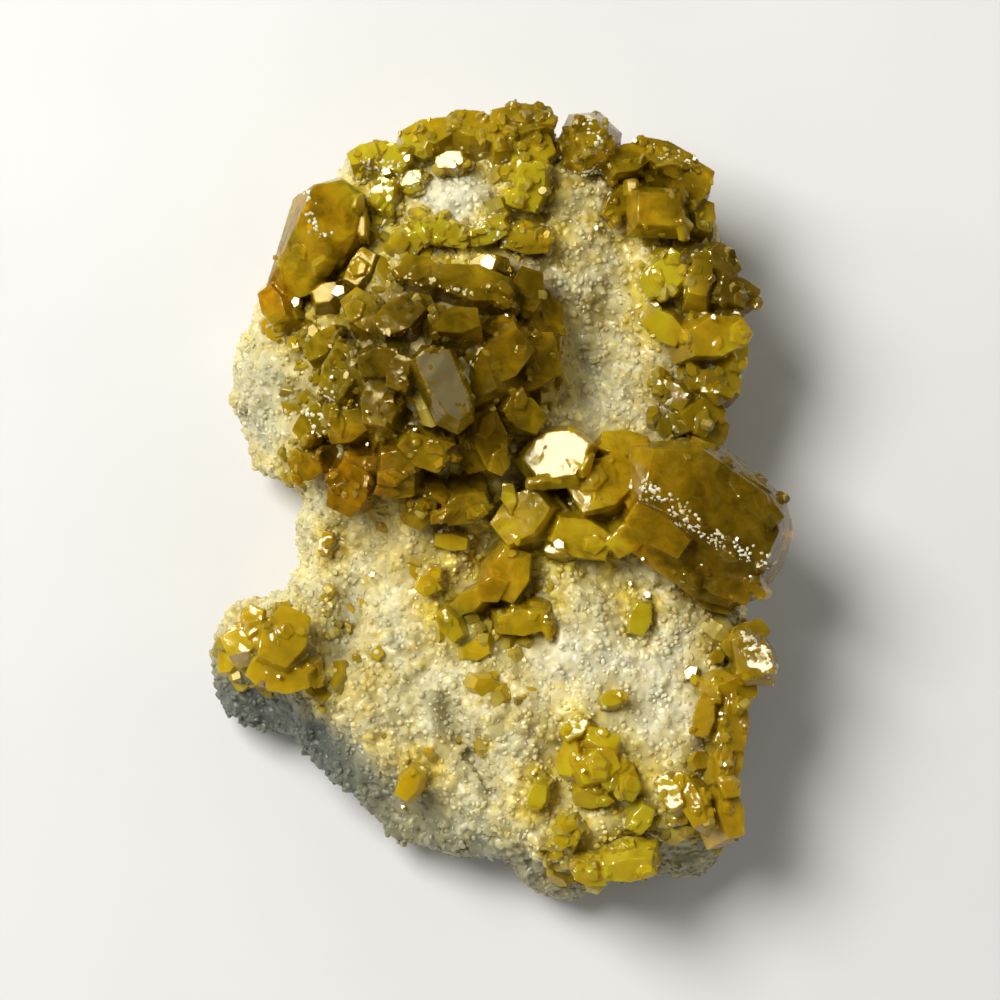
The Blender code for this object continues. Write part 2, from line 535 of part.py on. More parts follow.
def tablet_turn(tablet):
    """Turns a tablet to its heading and then leans its face over."""
    toward = math.radians(tablet.toward)
    axis = Vector((-math.sin(toward), math.cos(toward), 0))
    lean = Matrix.Rotation(math.radians(tablet.lean), 4, axis)
    return lean @ Euler((0, 0, math.radians(tablet.heading))).to_matrix().to_4x4()


def object_of(name, bm):
    """Moves the specimen's middle to the origin, turns millimetres to metres and makes the object."""
    bm.transform(Matrix.Scale(MM, 4) @ Matrix.Translation((-MIDDLE[0], -MIDDLE[1], 0)))
    mesh = bpy.data.meshes.new(name)
    bm.to_mesh(mesh)
    bm.free()
    obj = bpy.data.objects.new(name, mesh)
    bpy.context.scene.collection.objects.link(obj)
    return obj


def joined(crystals, grow=0.0):
    """All these crystals in one bmesh, still overlapping."""
    whole = bmesh.new()
    for crystal in crystals:
        piece = crystal_bmesh(crystal, grow)
        mesh = bpy.data.meshes.new("piece")
        piece.to_mesh(mesh)
        piece.free()
        whole.from_mesh(mesh)
        bpy.data.meshes.remove(mesh)
    return whole


def boolean(obj, other, operation):
    """Applies a Boolean of obj with other, whose own shapes may overlap, and removes other."""
    modifier = obj.modifiers.new(operation.lower(), "BOOLEAN")
    modifier.operation = operation
    modifier.object = other
    modifier.solver = "EXACT"
    modifier.use_self = True
    graph = bpy.context.evaluated_depsgraph_get()
    result = bpy.data.meshes.new_from_object(obj.evaluated_get(graph))
    obj.modifiers.clear()
    obj.data = result
    bpy.data.objects.remove(other)


def keep_main_body(obj):
    """Drops the crumbs that a Boolean leaves between close pockets."""
    bm = bmesh.new()
    bm.from_mesh(obj.data)
    bmesh.ops.remove_doubles(bm, verts=bm.verts, dist=2e-6)
    bmesh.ops.dissolve_degenerate(bm, edges=bm.edges, dist=2e-6)
    bodies, left = [], set(bm.faces)
    while left:
        body, front = set(), [next(iter(left))]
        while front:
            face = front.pop()
            if face in body:
                continue
            body.add(face)
            front += [other for edge in face.edges for other in edge.link_faces if other not in body]
        bodies.append(body)
        left -= body
    bodies.sort(key=lambda body: sum(face.calc_area() for face in body))
    crumbs = [face for body in bodies[:-1] for face in body]
    bmesh.ops.delete(bm, geom=crumbs, context="FACES")
    bm.to_mesh(obj.data)
    bm.free()


def crystal_group(name, crystals, material):
    """One solid of crystals that have grown into each other."""
    group = object_of(name, joined(crystals[:1]))
    if len(crystals) > 1:
        boolean(group, object_of(name + "_more", joined(crystals[1:])), "UNION")
    group.data.materials.clear()
    group.data.materials.append(material)
    return group


def material_of(name, colour, roughness, clear=0.0):
    material = bpy.data.materials.new(name)
    material.use_nodes = True
    shader = material.node_tree.nodes["Principled BSDF"]
    shader.inputs["Base Color"].default_value = (*colour, 1.0)
    shader.inputs["Roughness"].default_value = roughness
    shader.inputs["Transmission Weight"].default_value = clear
    shader.inputs["IOR"].default_value = 1.64
    return material


def main():
    for obj in list(bpy.data.objects):
        bpy.data.objects.remove(obj)
    druse = material_of("pale_druse", (0.72, 0.68, 0.52), 0.55)
    golden = material_of("golden_barite", (0.55, 0.38, 0.04), 0.2, clear=0.5)

    rock_object = object_of("rock", rock())
    groups = dict(GROUPS, **{name: [crystal] for name, crystal in SINGLES.items()})
    everything = [crystal for crystals in groups.values() for crystal in crystals]
    pockets = object_of("pockets", joined(everything, grow=ROOT_GAP))
    boolean(rock_object, pockets, "DIFFERENCE")
    keep_main_body(rock_object)
    rock_object.data.materials.clear()
    rock_object.data.materials.append(druse)
    for name, crystals in groups.items():
        crystal_group(name, crystals, golden)


main()
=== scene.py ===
"""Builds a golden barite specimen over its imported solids: rock, druse, crystals, then the stage.

Lengths are millimetres in the solids' frame until they go into a mesh, which is in metres.
"""

import math
from collections import namedtuple

import bmesh
import bpy
import numpy as np
from mathutils import Matrix, Vector, noise
from mathutils.bvhtree import BVHTree


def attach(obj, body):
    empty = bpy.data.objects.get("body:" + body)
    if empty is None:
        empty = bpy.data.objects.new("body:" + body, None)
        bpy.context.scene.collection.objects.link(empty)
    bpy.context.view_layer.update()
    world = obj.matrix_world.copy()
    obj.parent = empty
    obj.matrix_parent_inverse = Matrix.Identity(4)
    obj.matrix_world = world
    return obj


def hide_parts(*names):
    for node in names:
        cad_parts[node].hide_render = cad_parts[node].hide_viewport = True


bl_info = {
    "name": "Barite specimen",
    "version": (1, 0, 0),
    "blender": (4, 5, 0),
    "location": "3D View > Sidebar > Specimen",
    "description": "Builds a drusy rock set with golden barite crystals",
    "category": "Add Mesh",
}

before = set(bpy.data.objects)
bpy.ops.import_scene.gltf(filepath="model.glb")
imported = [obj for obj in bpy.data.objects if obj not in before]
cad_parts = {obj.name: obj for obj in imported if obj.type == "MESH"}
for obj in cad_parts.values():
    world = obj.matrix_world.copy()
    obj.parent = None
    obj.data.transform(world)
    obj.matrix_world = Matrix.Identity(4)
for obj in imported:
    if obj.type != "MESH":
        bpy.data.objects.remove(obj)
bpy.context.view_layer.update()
BODY = "root"
MM = 0.001

# Sizes that the rock's solid is built from
ROCK_LEVEL = 10.0
RIM_ROLL = 2.6
RIM_DROP = 1.7
WIDEST_AT = 0.62
UNDERCUT = 1.6
SIDE_LUMP = 1.6
SIDE_LUMP_SPAN = 4.5
MIDDLE = np.array((0.0, 0.35))
OUTLINE = [
    (16.9, 1.9), (16.8, 5.4), (17.3, 8.4), (18.1, 11.5), (18.2, 14.5), (18.4, 17.2), (17.5, 19.8),
    (15.8, 22.8), (14.4, 25.5), (11.4, 27.2), (7.9, 28.4), (4.1, 29.0), (0.7, 29.3), (-2.7, 29.6),
    (-5.8, 28.8), (-8.6, 27.8), (-11.4, 26.3), (-14.0, 23.6), (-16.0, 20.5), (-17.5, 17.6),
    (-19.2, 14.2), (-20.6, 11.1), (-20.5, 8.1), (-19.4, 5.4), (-17.3, 2.9), (-15.8, 0.8),
    (-16.2, -1.9), (-16.2, -4.5), (-16.9, -6.6), (-19.2, -8.0), (-21.3, -9.9), (-22.4, -12.0),
    (-21.3, -14.3), (-18.2, -16.6), (-14.6, -19.4), (-10.8, -22.1), (-6.9, -24.4), (-3.1, -26.1),
    (0.3, -27.3), (3.4, -28.8), (7.6, -29.1), (12.1, -28.2), (16.1, -27.3), (18.1, -25.4),
    (17.9, -22.1), (17.7, -19.0), (18.1, -16.0), (18.4, -13.7), (19.2, -10.7), (19.0, -7.6),
    (17.9, -3.8), (16.9, -0.7),
]  # fmt: skip
SHOULDERS = [
    (0, 1.0), (90, 0.9), (150, 1.8), (190, 2.2), (215, 3.4), (245, 3.2), (275, 2.0), (300, 2.4), (330, 1.2),
]  # fmt: skip
SWELLS = [
    (-2.0, 15.0, 14.0, 12.0, 4.2), (7.5, 13.0, 5.5, 7.5, -3.4), (15.5, 17.0, 3.5, 7.0, 1.4),
    (3.0, 25.0, 10.0, 3.0, 1.2), (-4.2, 23.4, 3.6, 1.7, 1.1), (-5.6, 8.6, 6.6, 6.8, 8.0),
    (-17.5, 7.0, 4.0, 5.0, -2.2), (-12.5, -3.0, 5.0, 4.0, -2.2), (4.0, -17.0, 12.0, 9.0, 1.8),
    (9.0, -1.0, 8.0, 3.5, 1.4), (-18.5, -11.5, 4.0, 3.0, 0.8),
]  # fmt: skip
GROOVES = [
    ((-4.2, -15.6), (-0.6, -22.6), 0.9, 1.1),
    ((-11.4, -7.0), (-11.8, -11.0), 1.3, 0.8),
]

# How finely the rock's skin is laid out
SKIN_AROUND = 420
SKIN_FRONT_ROWS = 58
SKIN_SIDE_ROWS = 26

# Crystal groups: their finish, how finely they are skinned, plates and buds per square millimetre, and
# the share of them that is frosted with small crystals
Group = namedtuple("Group", "finish voxel plates buds frost")
GROUPS = {
    "rosette": Group("deep_barite", 0.13, 0.25, 0.15, 0.3),
    "central_band": Group("band_barite", 0.13, 0.12, 0.05, 0.15),
    "upper_left_crystals": Group("deep_barite", 0.12, 0.15, 0.06, 0.1),
    "upper_rim_crystals": Group("clear_barite", 0.12, 0.2, 0.4, 0.8),
    "bowl_edge_crystals": Group("clear_barite", 0.12, 0.2, 0.4, 0.9),
    "upper_right_crystals": Group("deep_barite", 0.12, 0.15, 0.25, 0.5),
    "right_rim_crystals": Group("clear_barite", 0.12, 0.2, 0.3, 0.5),
    "left_corner_crystals": Group("clear_barite", 0.12, 0.15, 0.2, 0.3),
    "yellow_ball": Group("clear_barite", 0.12, 0.2, 0.3, 0.25),
    "right_edge_crystals": Group("clear_barite", 0.12, 0.2, 0.3, 0.4),
    "lower_edge_crystals": Group("clear_barite", 0.12, 0.3, 0.3, 0.4),
}
SINGLE_CRYSTAL = Group("clear_barite", 0.1, 0.2, 0.2, 0.2)
FURROW_DEPTH = 0.7  # how deep the furrows are pressed into the rock's skin
FURROW_WANDER = (0.5, 2.5)  # how far a furrow strays from its line, and over what length
LOWEST_GRAIN = 0.7  # no grains below this height, so that the flat back stays flat
LOWEST_CRUST = 5.0  # no golden crust below this height
ROSETTE_FOOT = (-4.6, 8.0, 6.5)  # x, y and radius of the ground that the rosette hides
UPPER_FROM = 1.35  # y at which the upper druse ends and the lower begins
SHADE_RAY_REACH = 2.5  # how far off a neighbour still darkens a crystal with painted shade
SHADE_RAYS = ((0.5, 2), (1.05, 4))  # tilt from the face, and number of rays around it, for the rays that find the painted shade
FOOT = 0.9  # how high above the druse a clear crystal is still paled by it
COLLARED = {"clear_barite"}  # finishes of the crystals that the druse creeps up on
WAVE = 0.035  # height of the waves on the crystals' faces
ETCHED_WAVE = 3.0  # how much higher the waves are on etched faces
ROCK_KEPT = 0.33  # share of the rock's skin that is kept when it is thinned
HALO = 2.2  # how far from a crystal the druse is stained
SNAP_REACH = 0.16  # how far a point of a skin is drawn onto the flat face that it came from

# How small shapes are scattered: least distance apart, number per square millimetre, size of the smallest
# and the largest, tilt in radians, how deep they are sunk, and turn in radians
Layer = namedtuple("Layer", "spacing density smallest largest tilt sink turn", defaults=(math.pi,))
PLATES = Layer(1.2, 1.0, 1.1, 2.6, 0.06, 0.0, 0.3)
BUDS = Layer(1.0, 1.0, 0.7, 1.7, 0.5, 0.0, 3.1)
LARGE_GRAINS = Layer(0.5, 1.6, 0.7, 1.5, 0.6, 0.16)
SMALL_GRAINS = Layer(0.4, 5.0, 0.45, 0.9, 0.8, 0.08)
LOOSE_GRAINS = Layer(0.3, 4.0, 0.27, 0.7, 0.8, 0.05)
CRUST = (Layer(1.1, 0.8, 1.4, 2.9, 0.8, 0.35), Layer(0.6, 2.4, 0.6, 1.7, 0.8, 0.15))
FROST = Layer(0.45, 2.6, 0.35, 1.1, 0.5, 0.08)
COLLAR = Layer(0.2, 9.0, 0.25, 0.6, 0.8, 0.05)
DUST_AND_GLINT_GRAINS = Layer(0.09, 30.0, 0.1, 0.4, 0.9, 0.05)
SMALL_SHARE = 1.8  # the higher, the more of the scattered shapes are small
STRETCH = ((0.8, 0.7, 0.75), (1.25, 1.1, 1.3))  # least and most that a scattered shape is stretched

# Finishes of the barite: its darkest clouds, least and most roughness, the share of light that goes through,
# how fast it is lost and the colour that is left, the colour of reflections, how much light spreads under
# the faces, and how much of the druse shows through a crystal's foot, which also weakens its painted shade
Finish = namedtuple("Finish", "darkest smoothest roughest clear thick soak gleam milky thin")
FINISHES = {
    "deep_barite": Finish(0.45, 0.05, 0.22, 0.68, 190.0, (0.88, 0.74, 0.03), (0.6, 0.5, 0.25), 0.6, 0.0),
    "band_barite": Finish(0.5, 0.05, 0.2, 0.58, 150.0, (0.92, 0.78, 0.03), (0.92, 0.86, 0.66), 0.6, 0.3),
    "clear_barite": Finish(0.8, 0.04, 0.18, 0.6, 40.0, (0.92, 0.82, 0.01), (0.95, 0.9, 0.75), 0.6, 0.6),
    "crust_barite": Finish(0.7, 0.05, 0.22, 0.55, 60.0, (0.92, 0.82, 0.01), (0.6, 0.5, 0.25), 0.0, 0.75),
    "bright_barite": Finish(0.8, 0.03, 0.2, 0.5, 60.0, (0.9, 0.8, 0.01), (1.0, 1.0, 0.95), 0.0, 0.0),
}

# Colours that don't change with the settings
VEIL_COLOUR = (0.8, 0.62, 0.14, 1)
# painted shade: dark brown put into crystals where their neighbours hide the sky
PAINTED_SHADE_COLOUR = (0.12, 0.06, 0.004, 1)
FOOT_COLOUR = (0.82, 0.66, 0.13, 1)
# painted sheen: grey put into the frosted face's colour for its reflection
DULL_SHEEN_COLOUR = (0.24, 0.19, 0.075, 1)
BLOTCH_COLOUR = (0.66, 0.5, 0.11, 1)
PALE_COLOUR = (0.75, 0.72, 0.52, 1)
GOLD_GRAIN = ((0.64, 0.46, 0.025, 1), (0.76, 0.6, 0.08, 1))
DEEP_GRAIN = (0.22, 0.14, 0.015, 1)
# painted shade: darker brown put into the druse along its furrows
FURROW_SHADE_COLOUR = (0.4, 0.35, 0.17, 1)
# pale grains, their colour partly their own and partly a painted glint
DUST_AND_GLINT_COLOURS = ((0.72, 0.68, 0.5, 1), (0.5, 0.4, 0.14, 1))
LAMP_COLOUR = (1.0, 0.98, 0.94)

# The stage: how pale the floor is, and the camera's lens in millimetres and place
FLOOR_SHADES = (0.62, 0.66)
LENS = 200.0
CAMERA_AWAY = 0.425  # metres
CAMERA_UP = 85  # degrees
AIM = (0, -0.35, 13)  # what the camera and the lamps look at

# Lamps: name, direction, distance and size in metres, and power
LAMPS = (
    ("key_softbox", (-0.45, 0.32, 0.83), 0.45, 0.22, 2.75),
    ("left_softbox", (-0.8, 0.35, 0.4), 0.7, 0.5, 0.9),
    ("right_softbox", (0.8, 0.3, 0.4), 0.7, 0.5, 0.7),
    ("front_softbox", (0.0, -0.9, 0.4), 0.7, 0.5, 0.7),
)

# Faces that stay bare and flat: x, y and radius
CLEAR_FACES = [
    (4.3, 2.8, 3.2), (-4.2, 7.3, 3.2), (12.1, 21.7, 1.9), (19.6, -12.2, 1.7), (15.5, -1.5, 4.5),
    (-12.8, 21.8, 3.0), (12.8, 13.6, 1.3), (-0.9, 17.5, 1.4), (-13.0, 15.6, 1.2), (4.6, -3.6, 1.0),
    (-3.6, 25.9, 1.0), (-6.6, 24.6, 1.0),
]  # fmt: skip

# Faces that are etched into waves: x, y and radius
ETCHED = [
    (5.6, 2.0, 0.9), (-11.5, 18.2, 1.6), (-13.3, -3.3, 1.0), (6.1, -17.2, 1.2), (13.3, -22.4, 1.4),
    (-18.4, -10.3, 1.6), (-3.6, 25.9, 1.1), (-6.6, 24.6, 1.1), (-8.9, 23.8, 1.1), (19.6, -12.2, 1.7),
]  # fmt: skip

# The rough, frosted face whose grey sheen is painted into its colour: x, y and radius
DULL_FACE = (-4.2, 7.5, 3.0)
DULL_FACE_ABOVE = 23.5

# The face that is turned away from its neighbours: x, y, radius, and how it slopes along x and y
TURNED_FACE = (8.5, 1.5, 2.6, -0.28, 0.14)

# Shades of the barite: x, y, radius, from olive (-1) to orange (1), and from pale (-1) to dark (1)
SHADES = [
    # rosette
    (-3.9, 7.6, 4.6, 0.0, 0.9), (-11.5, 1.5, 3.2, 0.8, 0.4), (0.6, 11.4, 3.4, 0.35, 0.5),
    (1.8, 16.4, 2.6, 0.0, 1.0), (-6.6, 13.4, 3.2, -0.1, 1.0), (-4.2, 17.0, 3.1, 0.0, 1.1),
    (-14.2, 8.4, 2.9, -0.6, 0.35), (-9.5, 9.5, 3.0, -0.2, 1.0), (-4.7, 1.1, 2.9, 0.2, 0.3),
    (-1.6, 5.3, 2.3, 0.3, 0.7),
    # upper left and upper rim
    (-13.4, 21.8, 2.9, 0.35, 0.0), (-16.3, 19.8, 1.7, -0.2, 0.1), (-17.5, 16.0, 1.4, 0.9, -0.1),
    (-8.5, 25.0, 3.5, -0.1, -1.9), (-3.0, 27.5, 3.5, -0.3, 0.3), (2.0, 24.8, 2.4, -0.1, -1.2),
    (2.6, 29.2, 2.3, -0.1, 0.9), (-3.5, 20.5, 3.5, -0.1, -1.9),
    # upper right and right rim
    (6.8, 27.5, 2.9, 0.0, 0.4), (12.1, 26.7, 2.7, -0.1, 0.5), (11.5, 22.0, 1.4, 0.3, -0.2),
    (14.3, 22.9, 1.7, 0.1, 0.8), (15.6, 21.6, 1.1, -0.4, -0.9), (12.1, 17.2, 2.1, -0.1, -1.5),
    (15.6, 17.6, 1.7, -0.3, 0.5), (18.0, 17.6, 2.6, 0.1, 1.8), (12.1, 13.6, 1.5, -0.1, -0.6),
    (17.9, 11.5, 1.2, 0.0, -0.8), (15.6, 12.2, 1.9, 0.1, 0.2), (15.6, 7.6, 3.4, -0.3, 0.75),
    # central band
    (13.6, -1.2, 4.4, 0.35, 0.8), (19.4, -0.6, 3.8, -0.3, 2.7), (16.6, -5.6, 3.0, 0.1, 1.2),
    (2.2, -1.5, 3.3, 0.3, -2.6), (8.1, 1.0, 2.0, 0.3, -0.4), (6.4, -3.2, 2.9, 0.3, -2.4),
    (-0.1, -6.1, 2.6, 0.7, -0.7), (-3.7, -9.2, 1.5, -0.5, -0.4), (1.1, -9.5, 2.6, -0.2, -0.2),
    # lower lobe
    (-19.9, -10.7, 1.9, -0.2, -0.2), (-16.5, -12.2, 2.0, -0.1, 0.4), (7.4, -20.0, 3.3, 0.35, -2.6),
    (19.5, -11.5, 2.0, -0.2, 0.8), (17.3, -17.6, 2.5, 0.1, 0.5), (16.3, -23.7, 3.1, 0.1, 0.25),
    (10.6, -8.9, 2.0, -0.3, -0.8), (10.7, -24.2, 2.2, -0.1, -1.4), (2.9, -22.6, 1.6, -0.1, -0.9),
    (5.2, -25.4, 1.8, -0.2, -0.6), (9.5, -28.0, 3.0, 0.0, -1.0),
]  # fmt: skip

# Where the druse is golden: x, y, radius and strength
GOLDEN_GROUND = [
    (-9.6, 21.0, 4.2, 0.9), (-11.5, 16.0, 3.7, 0.9), (-7.3, 19.1, 3.1, 0.8), (-8.9, 24.8, 2.3, 0.7),
    (-3.9, 27.5, 3.8, 0.9), (-4.7, 20.5, 3.2, 0.9), (-14.6, 13.7, 3.1, 0.9), (-13.7, 7.6, 3.1, 0.8),
    (-15.0, 3.4, 2.4, 0.8), (1.5, 25.2, 3.1, 0.9), (-0.1, 20.2, 3.1, 0.6), (-5.0, 8.0, 8.0, 1.0),
    (14.4, 17.6, 3.8, 0.8), (15.2, 13.0, 3.7, 0.9), (15.6, 7.6, 3.7, 0.9), (12.5, 23.3, 3.8, 0.8),
    (8.7, 21.8, 2.3, 0.35), (3.0, -1.5, 3.7, 0.9), (0.3, -5.7, 3.7, 0.8), (7.6, 0.0, 3.8, 0.9),
    (0.7, -9.9, 3.2, 0.7), (-3.5, -8.4, 2.0, 0.6), (-5.4, -5.7, 1.4, 0.6), (10.6, -9.2, 2.3, 0.6),
    (7.2, -20.2, 3.8, 0.6), (10.6, -24.6, 1.8, 0.6), (5.3, -27.5, 2.3, 0.7), (9.8, -28.1, 2.9, 0.7),
    (18.6, -11.1, 2.7, 0.7), (16.9, -17.2, 3.1, 0.9), (16.1, -22.9, 3.7, 0.9), (-18.2, -11.5, 3.8, 0.7),
    (-13.1, -14.5, 2.1, 0.45), (-5.8, -21.0, 2.4, 0.5), (1.5, -15.3, 2.3, 0.25), (-13.1, -8.4, 2.3, 0.4),
    (-0.5, -13.7, 1.4, 0.55), (7.9, -16.4, 1.6, 0.7), (-1.2, -18.7, 0.7, 0.8), (-10.4, -12.6, 2.0, 0.5),
    (3.0, -22.6, 1.1, 0.8), (4.5, -27.1, 1.5, 0.8), (-3.5, -18.3, 1.0, 0.5), (10.8, -8.4, 1.3, 0.7),
    (-6.9, -24.0, 1.2, 0.4), (0.4, -24.6, 1.4, 0.4), (-9.2, -18.6, 1.3, 0.45), (-9.6, -3.8, 2.5, 0.35),
]  # fmt: skip

# Where the druse is clean and pale: x, y, radius and strength
PALE_GROUND = [
    (-3.9, 23.5, 2.6, 1.0), (10.6, -13.7, 4.6, 0.65), (14.4, -15.3, 3.1, 0.6), (-18.4, 7.6, 2.0, 0.15),
    (4.5, -11.5, 2.3, 0.5), (9.1, 22.9, 1.9, 0.6),
]  # fmt: skip

# Where the druse is made darker and greyer towards the sides' colour, as painted shade: x, y, radius and
# strength
SHADED_GROUND = [(-19.0, 7.8, 3.3, 0.22)]

# Where pale grains dust the crystals and stand in for painted glints on their ridges: from x, y to x, y, and
# how far from that line
DUST_AND_GLINT_LINES = [
    (11.0, 0.8, 13.1, -0.9, 0.7), (13.1, -0.9, 15.2, -2.8, 0.7), (15.2, -2.8, 20.2, -5.0, 0.7),
    (-15.3, 11.8, -16.5, 9.5, 0.7), (-17.6, 9.9, -13.1, 8.0, 0.7), (-16.9, 7.6, -13.1, 5.3, 0.7),
    (11.8, 27.1, 14.4, 26.1, 0.7), (18.6, -10.7, 20.7, -13.1, 0.7), (6.8, 29.0, 7.6, 26.0, 0.7),
    (4.5, 25.6, 8.3, 24.0, 0.7), (-10.2, 25.8, -5.4, 24.4, 0.7), (-3.4, 22.1, 0.2, 19.8, 0.7),
    (-14.6, 23.5, -14.2, 20.2, 0.3), (-14.2, 20.2, -13.0, 20.0, 0.35), (-9.3, 15.3, -7.2, 16.6, 0.25),
    (-3.6, 15.5, -1.7, 15.0, 0.25),
]  # fmt: skip

# Small clear tablets that all lie at one angle: x, y and length
BRIGHT_TABLETS = [
    (-0.9, 17.5, 1.6), (4.6, -3.6, 1.0), (14.8, -13.1, 1.3), (11.4, -7.1, 0.7), (-9.8, -5.5, 0.6),
    (-15.6, 15.1, 0.9), (-8.6, 25.1, 0.8), (-7.0, 26.1, 0.7), (-3.5, 25.5, 0.7), (-12.3, 15.7, 1.2),
    (7.5, 21.0, 0.45), (12.0, 15.0, 0.7), (-10.0, 4.0, 0.35), (-9.9, 5.9, 0.3), (-12.7, 8.9, 0.35),
    (10.1, -6.3, 0.4), (-7.4, -23.3, 0.35), (11.0, -4.6, 0.35), (10.4, 27.6, 0.5), (15.0, 26.2, 0.4),
    (16.4, 13.8, 0.5), (-6.3, 4.6, 0.35), (-13.2, -10.3, 0.4), (16.9, -16.4, 0.4), (18.0, -3.4, 0.4),
    (0.6, 13.4, 0.3), (6.4, -20.8, 0.35), (17.2, -20.3, 0.4), (-16.8, -13.6, 0.35), (2.6, -20.9, 0.35),
    (3.6, -9.0, 0.3), (14.4, 8.0, 0.35), (-14.2, 5.0, 0.3),
]  # fmt: skip
BRIGHT_LEAN = (-0.237, 0.123, 0.964)  # which way their faces look
TABLET_HEIGHT = 3.2
TABLET_RAISED = 0.3


# ---------------------------------------------------------------------------
# Shape of the rock


def noise_at(points, span):
    return np.array([noise.noise(Vector(point) / span) for point in points])


def segment_distance(points, start, end):
    start, along = np.array(start), np.array(end) - np.array(start)
    share = np.clip(((points - start) @ along) / (along @ along), 0, 1)
    return np.linalg.norm(points - start - share[:, None] * along, axis=1)


def reach(points, x, y, radius):
    """How much of a round spot is at each point: 1 inside it, fading out to a third beyond its edge."""
    away = np.hypot(points[:, 0] - x, points[:, 1] - y) / radius
    return np.clip((1.3 - away) / 0.6, 0, 1)


def strongest(points, spots):
    value = np.zeros(len(points))
    for x, y, radius, strength in spots:
        value = np.maximum(value, strength * reach(points, x, y, radius))
    return value


def shades(points):
    """Warmth and depth of the barite at each point."""
    weights, warmth, depth = np.full(len(points), 0.15), np.zeros(len(points)), np.zeros(len(points))
    for x, y, radius, warm, deep in SHADES:
        away = np.hypot(points[:, 0] - x, points[:, 1] - y) / radius
        weight = np.exp(-1.5 * away**2)
        weights += weight
        warmth += weight * warm
        depth += weight * deep
    return warmth / weights, depth / weights


def front_height(points):
    """Height of the rock's front above its back, before the rounding at its edge."""
    x, y = points[:, 0], points[:, 1]
    height = np.full(len(points), ROCK_LEVEL)
    for cx, cy, half_x, half_y, rise in SWELLS:
        height += rise * np.exp(-(((x - cx) / half_x) ** 2) - ((y - cy) / half_y) ** 2)
    for start, end, half_width, depth in GROOVES:
        height -= depth * np.exp(-((segment_distance(points, start, end) / half_width) ** 2))
    height += noise_at(np.column_stack((x, y, np.full(len(x), 3.0))), 5.5) * 1.3
    return height + noise_at(np.column_stack((x, y, np.full(len(x), 9.0))), 2.3) * 0.45


def shoulders(points):
    """How far the front's edge stands in from each point of the outline."""
    direction = np.degrees(np.arctan2(points[:, 1], points[:, 0])) % 360
    at = np.array([angle for angle, _ in SHOULDERS] + [360])
    inset = np.array([inset for _, inset in SHOULDERS] + [SHOULDERS[0][1]])
    after = np.clip(np.searchsorted(at, direction, side="right"), 1, len(at) - 1)
    share = (direction - at[after - 1]) / (at[after] - at[after - 1])
    share = share * share * (3 - 2 * share)
    return inset[after - 1] + (inset[after] - inset[after - 1]) * share


def smooth_loop(points, count):
    """count points evenly spaced along a closed smooth curve through points."""
    points = np.array(points)
    before, end, after = np.roll(points, 1, 0), np.roll(points, -1, 0), np.roll(points, -2, 0)
    steps = np.arange(12)[:, None, None] / 12
    fine = 0.5 * (
        2 * points
        + (end - before) * steps
        + (2 * before - 5 * points + 4 * end - after) * steps**2
        + (3 * points - before - 3 * end + after) * steps**3
    )
    fine = fine.transpose(1, 0, 2).reshape(-1, 2)
    closed = np.vstack((fine, fine[:1]))
    lengths = np.concatenate(([0], np.cumsum(np.linalg.norm(np.diff(closed, axis=0), axis=1))))
    targets = lengths[-1] * np.arange(count) / count
    return np.column_stack([np.interp(targets, lengths, closed[:, axis]) for axis in (0, 1)])


def rock_grid():
    """Rows of the rock's skin, from the middle of its front to the foot of its sides."""
    outline = smooth_loop(OUTLINE, SKIN_AROUND)
    along = np.roll(outline, -1, 0) - np.roll(outline, 1, 0)
    normals = np.column_stack((along[:, 1], -along[:, 0]))
    normals /= np.linalg.norm(normals, axis=1)[:, None]
    edge = outline * (1 - shoulders(outline) / np.linalg.norm(outline, axis=1))[:, None]

    rows = []
    for row in range(1, SKIN_FRONT_ROWS + 1):
        flat = edge * row / SKIN_FRONT_ROWS
        away = np.full(len(flat), np.inf)
        for i in range(len(edge)):
            away = np.minimum(away, segment_distance(flat, edge[i - 1], edge[i]))
        share = np.clip(away / RIM_ROLL, 0, 1)
        height = front_height(flat) - RIM_DROP * (1 - np.sqrt(1 - (1 - share) ** 2))
        rows.append(np.column_stack((flat, height)))

    top = front_height(edge) - RIM_DROP
    for row in range(1, SKIN_SIDE_ROWS + 1):
        share = row / SKIN_SIDE_ROWS
        if share <= WIDEST_AT:
            place = edge + (outline - edge) * math.sin(math.pi / 2 * share / WIDEST_AT)
        else:
            place = outline - normals * UNDERCUT * ((share - WIDEST_AT) / (1 - WIDEST_AT)) ** 2
        lump = noise_at(np.column_stack((place, 20 + top * share)), SIDE_LUMP_SPAN)
        place = place + normals * (SIDE_LUMP * lump * math.sin(math.pi * share))[:, None]
        rows.append(np.column_stack((place, top * (1 - share))))
    return rows


def rock_mesh():
    """The rock's closed skin, roughened in three sizes of lump."""
    rows = rock_grid()
    middle = np.array([[0.0, 0.0, front_height(np.zeros((1, 2)))[0]]])
    points = np.vstack([middle] + rows)
    points[:, :2] -= MIDDLE
    bm = bmesh.new()
    verts = [bm.verts.new(point) for point in points]
    ring = [verts[1 + SKIN_AROUND * row : 1 + SKIN_AROUND * (row + 1)] for row in range(len(rows))]
    for i in range(SKIN_AROUND):
        bm.faces.new((verts[0], ring[0][i], ring[0][(i + 1) % SKIN_AROUND]))
    for inner, outer in zip(ring, ring[1:]):
        for i in range(SKIN_AROUND):
            following = (i + 1) % SKIN_AROUND
            bm.faces.new((inner[i], outer[i], outer[following], inner[following]))
    bm.faces.new(list(reversed(ring[-1])))
    bm.normal_update()
    foot = set(ring[-1])
    for vert in bm.verts:
        if vert in foot:
            continue
        rough = 0.0
        for span, height in ((3.4, 0.45), (1.5, 0.34), (0.7, 0.14)):
            rough += noise.noise(vert.co / span) * height
        vert.co += vert.normal * rough
        vert.co.z = max(vert.co.z, 0.12)
    return bm


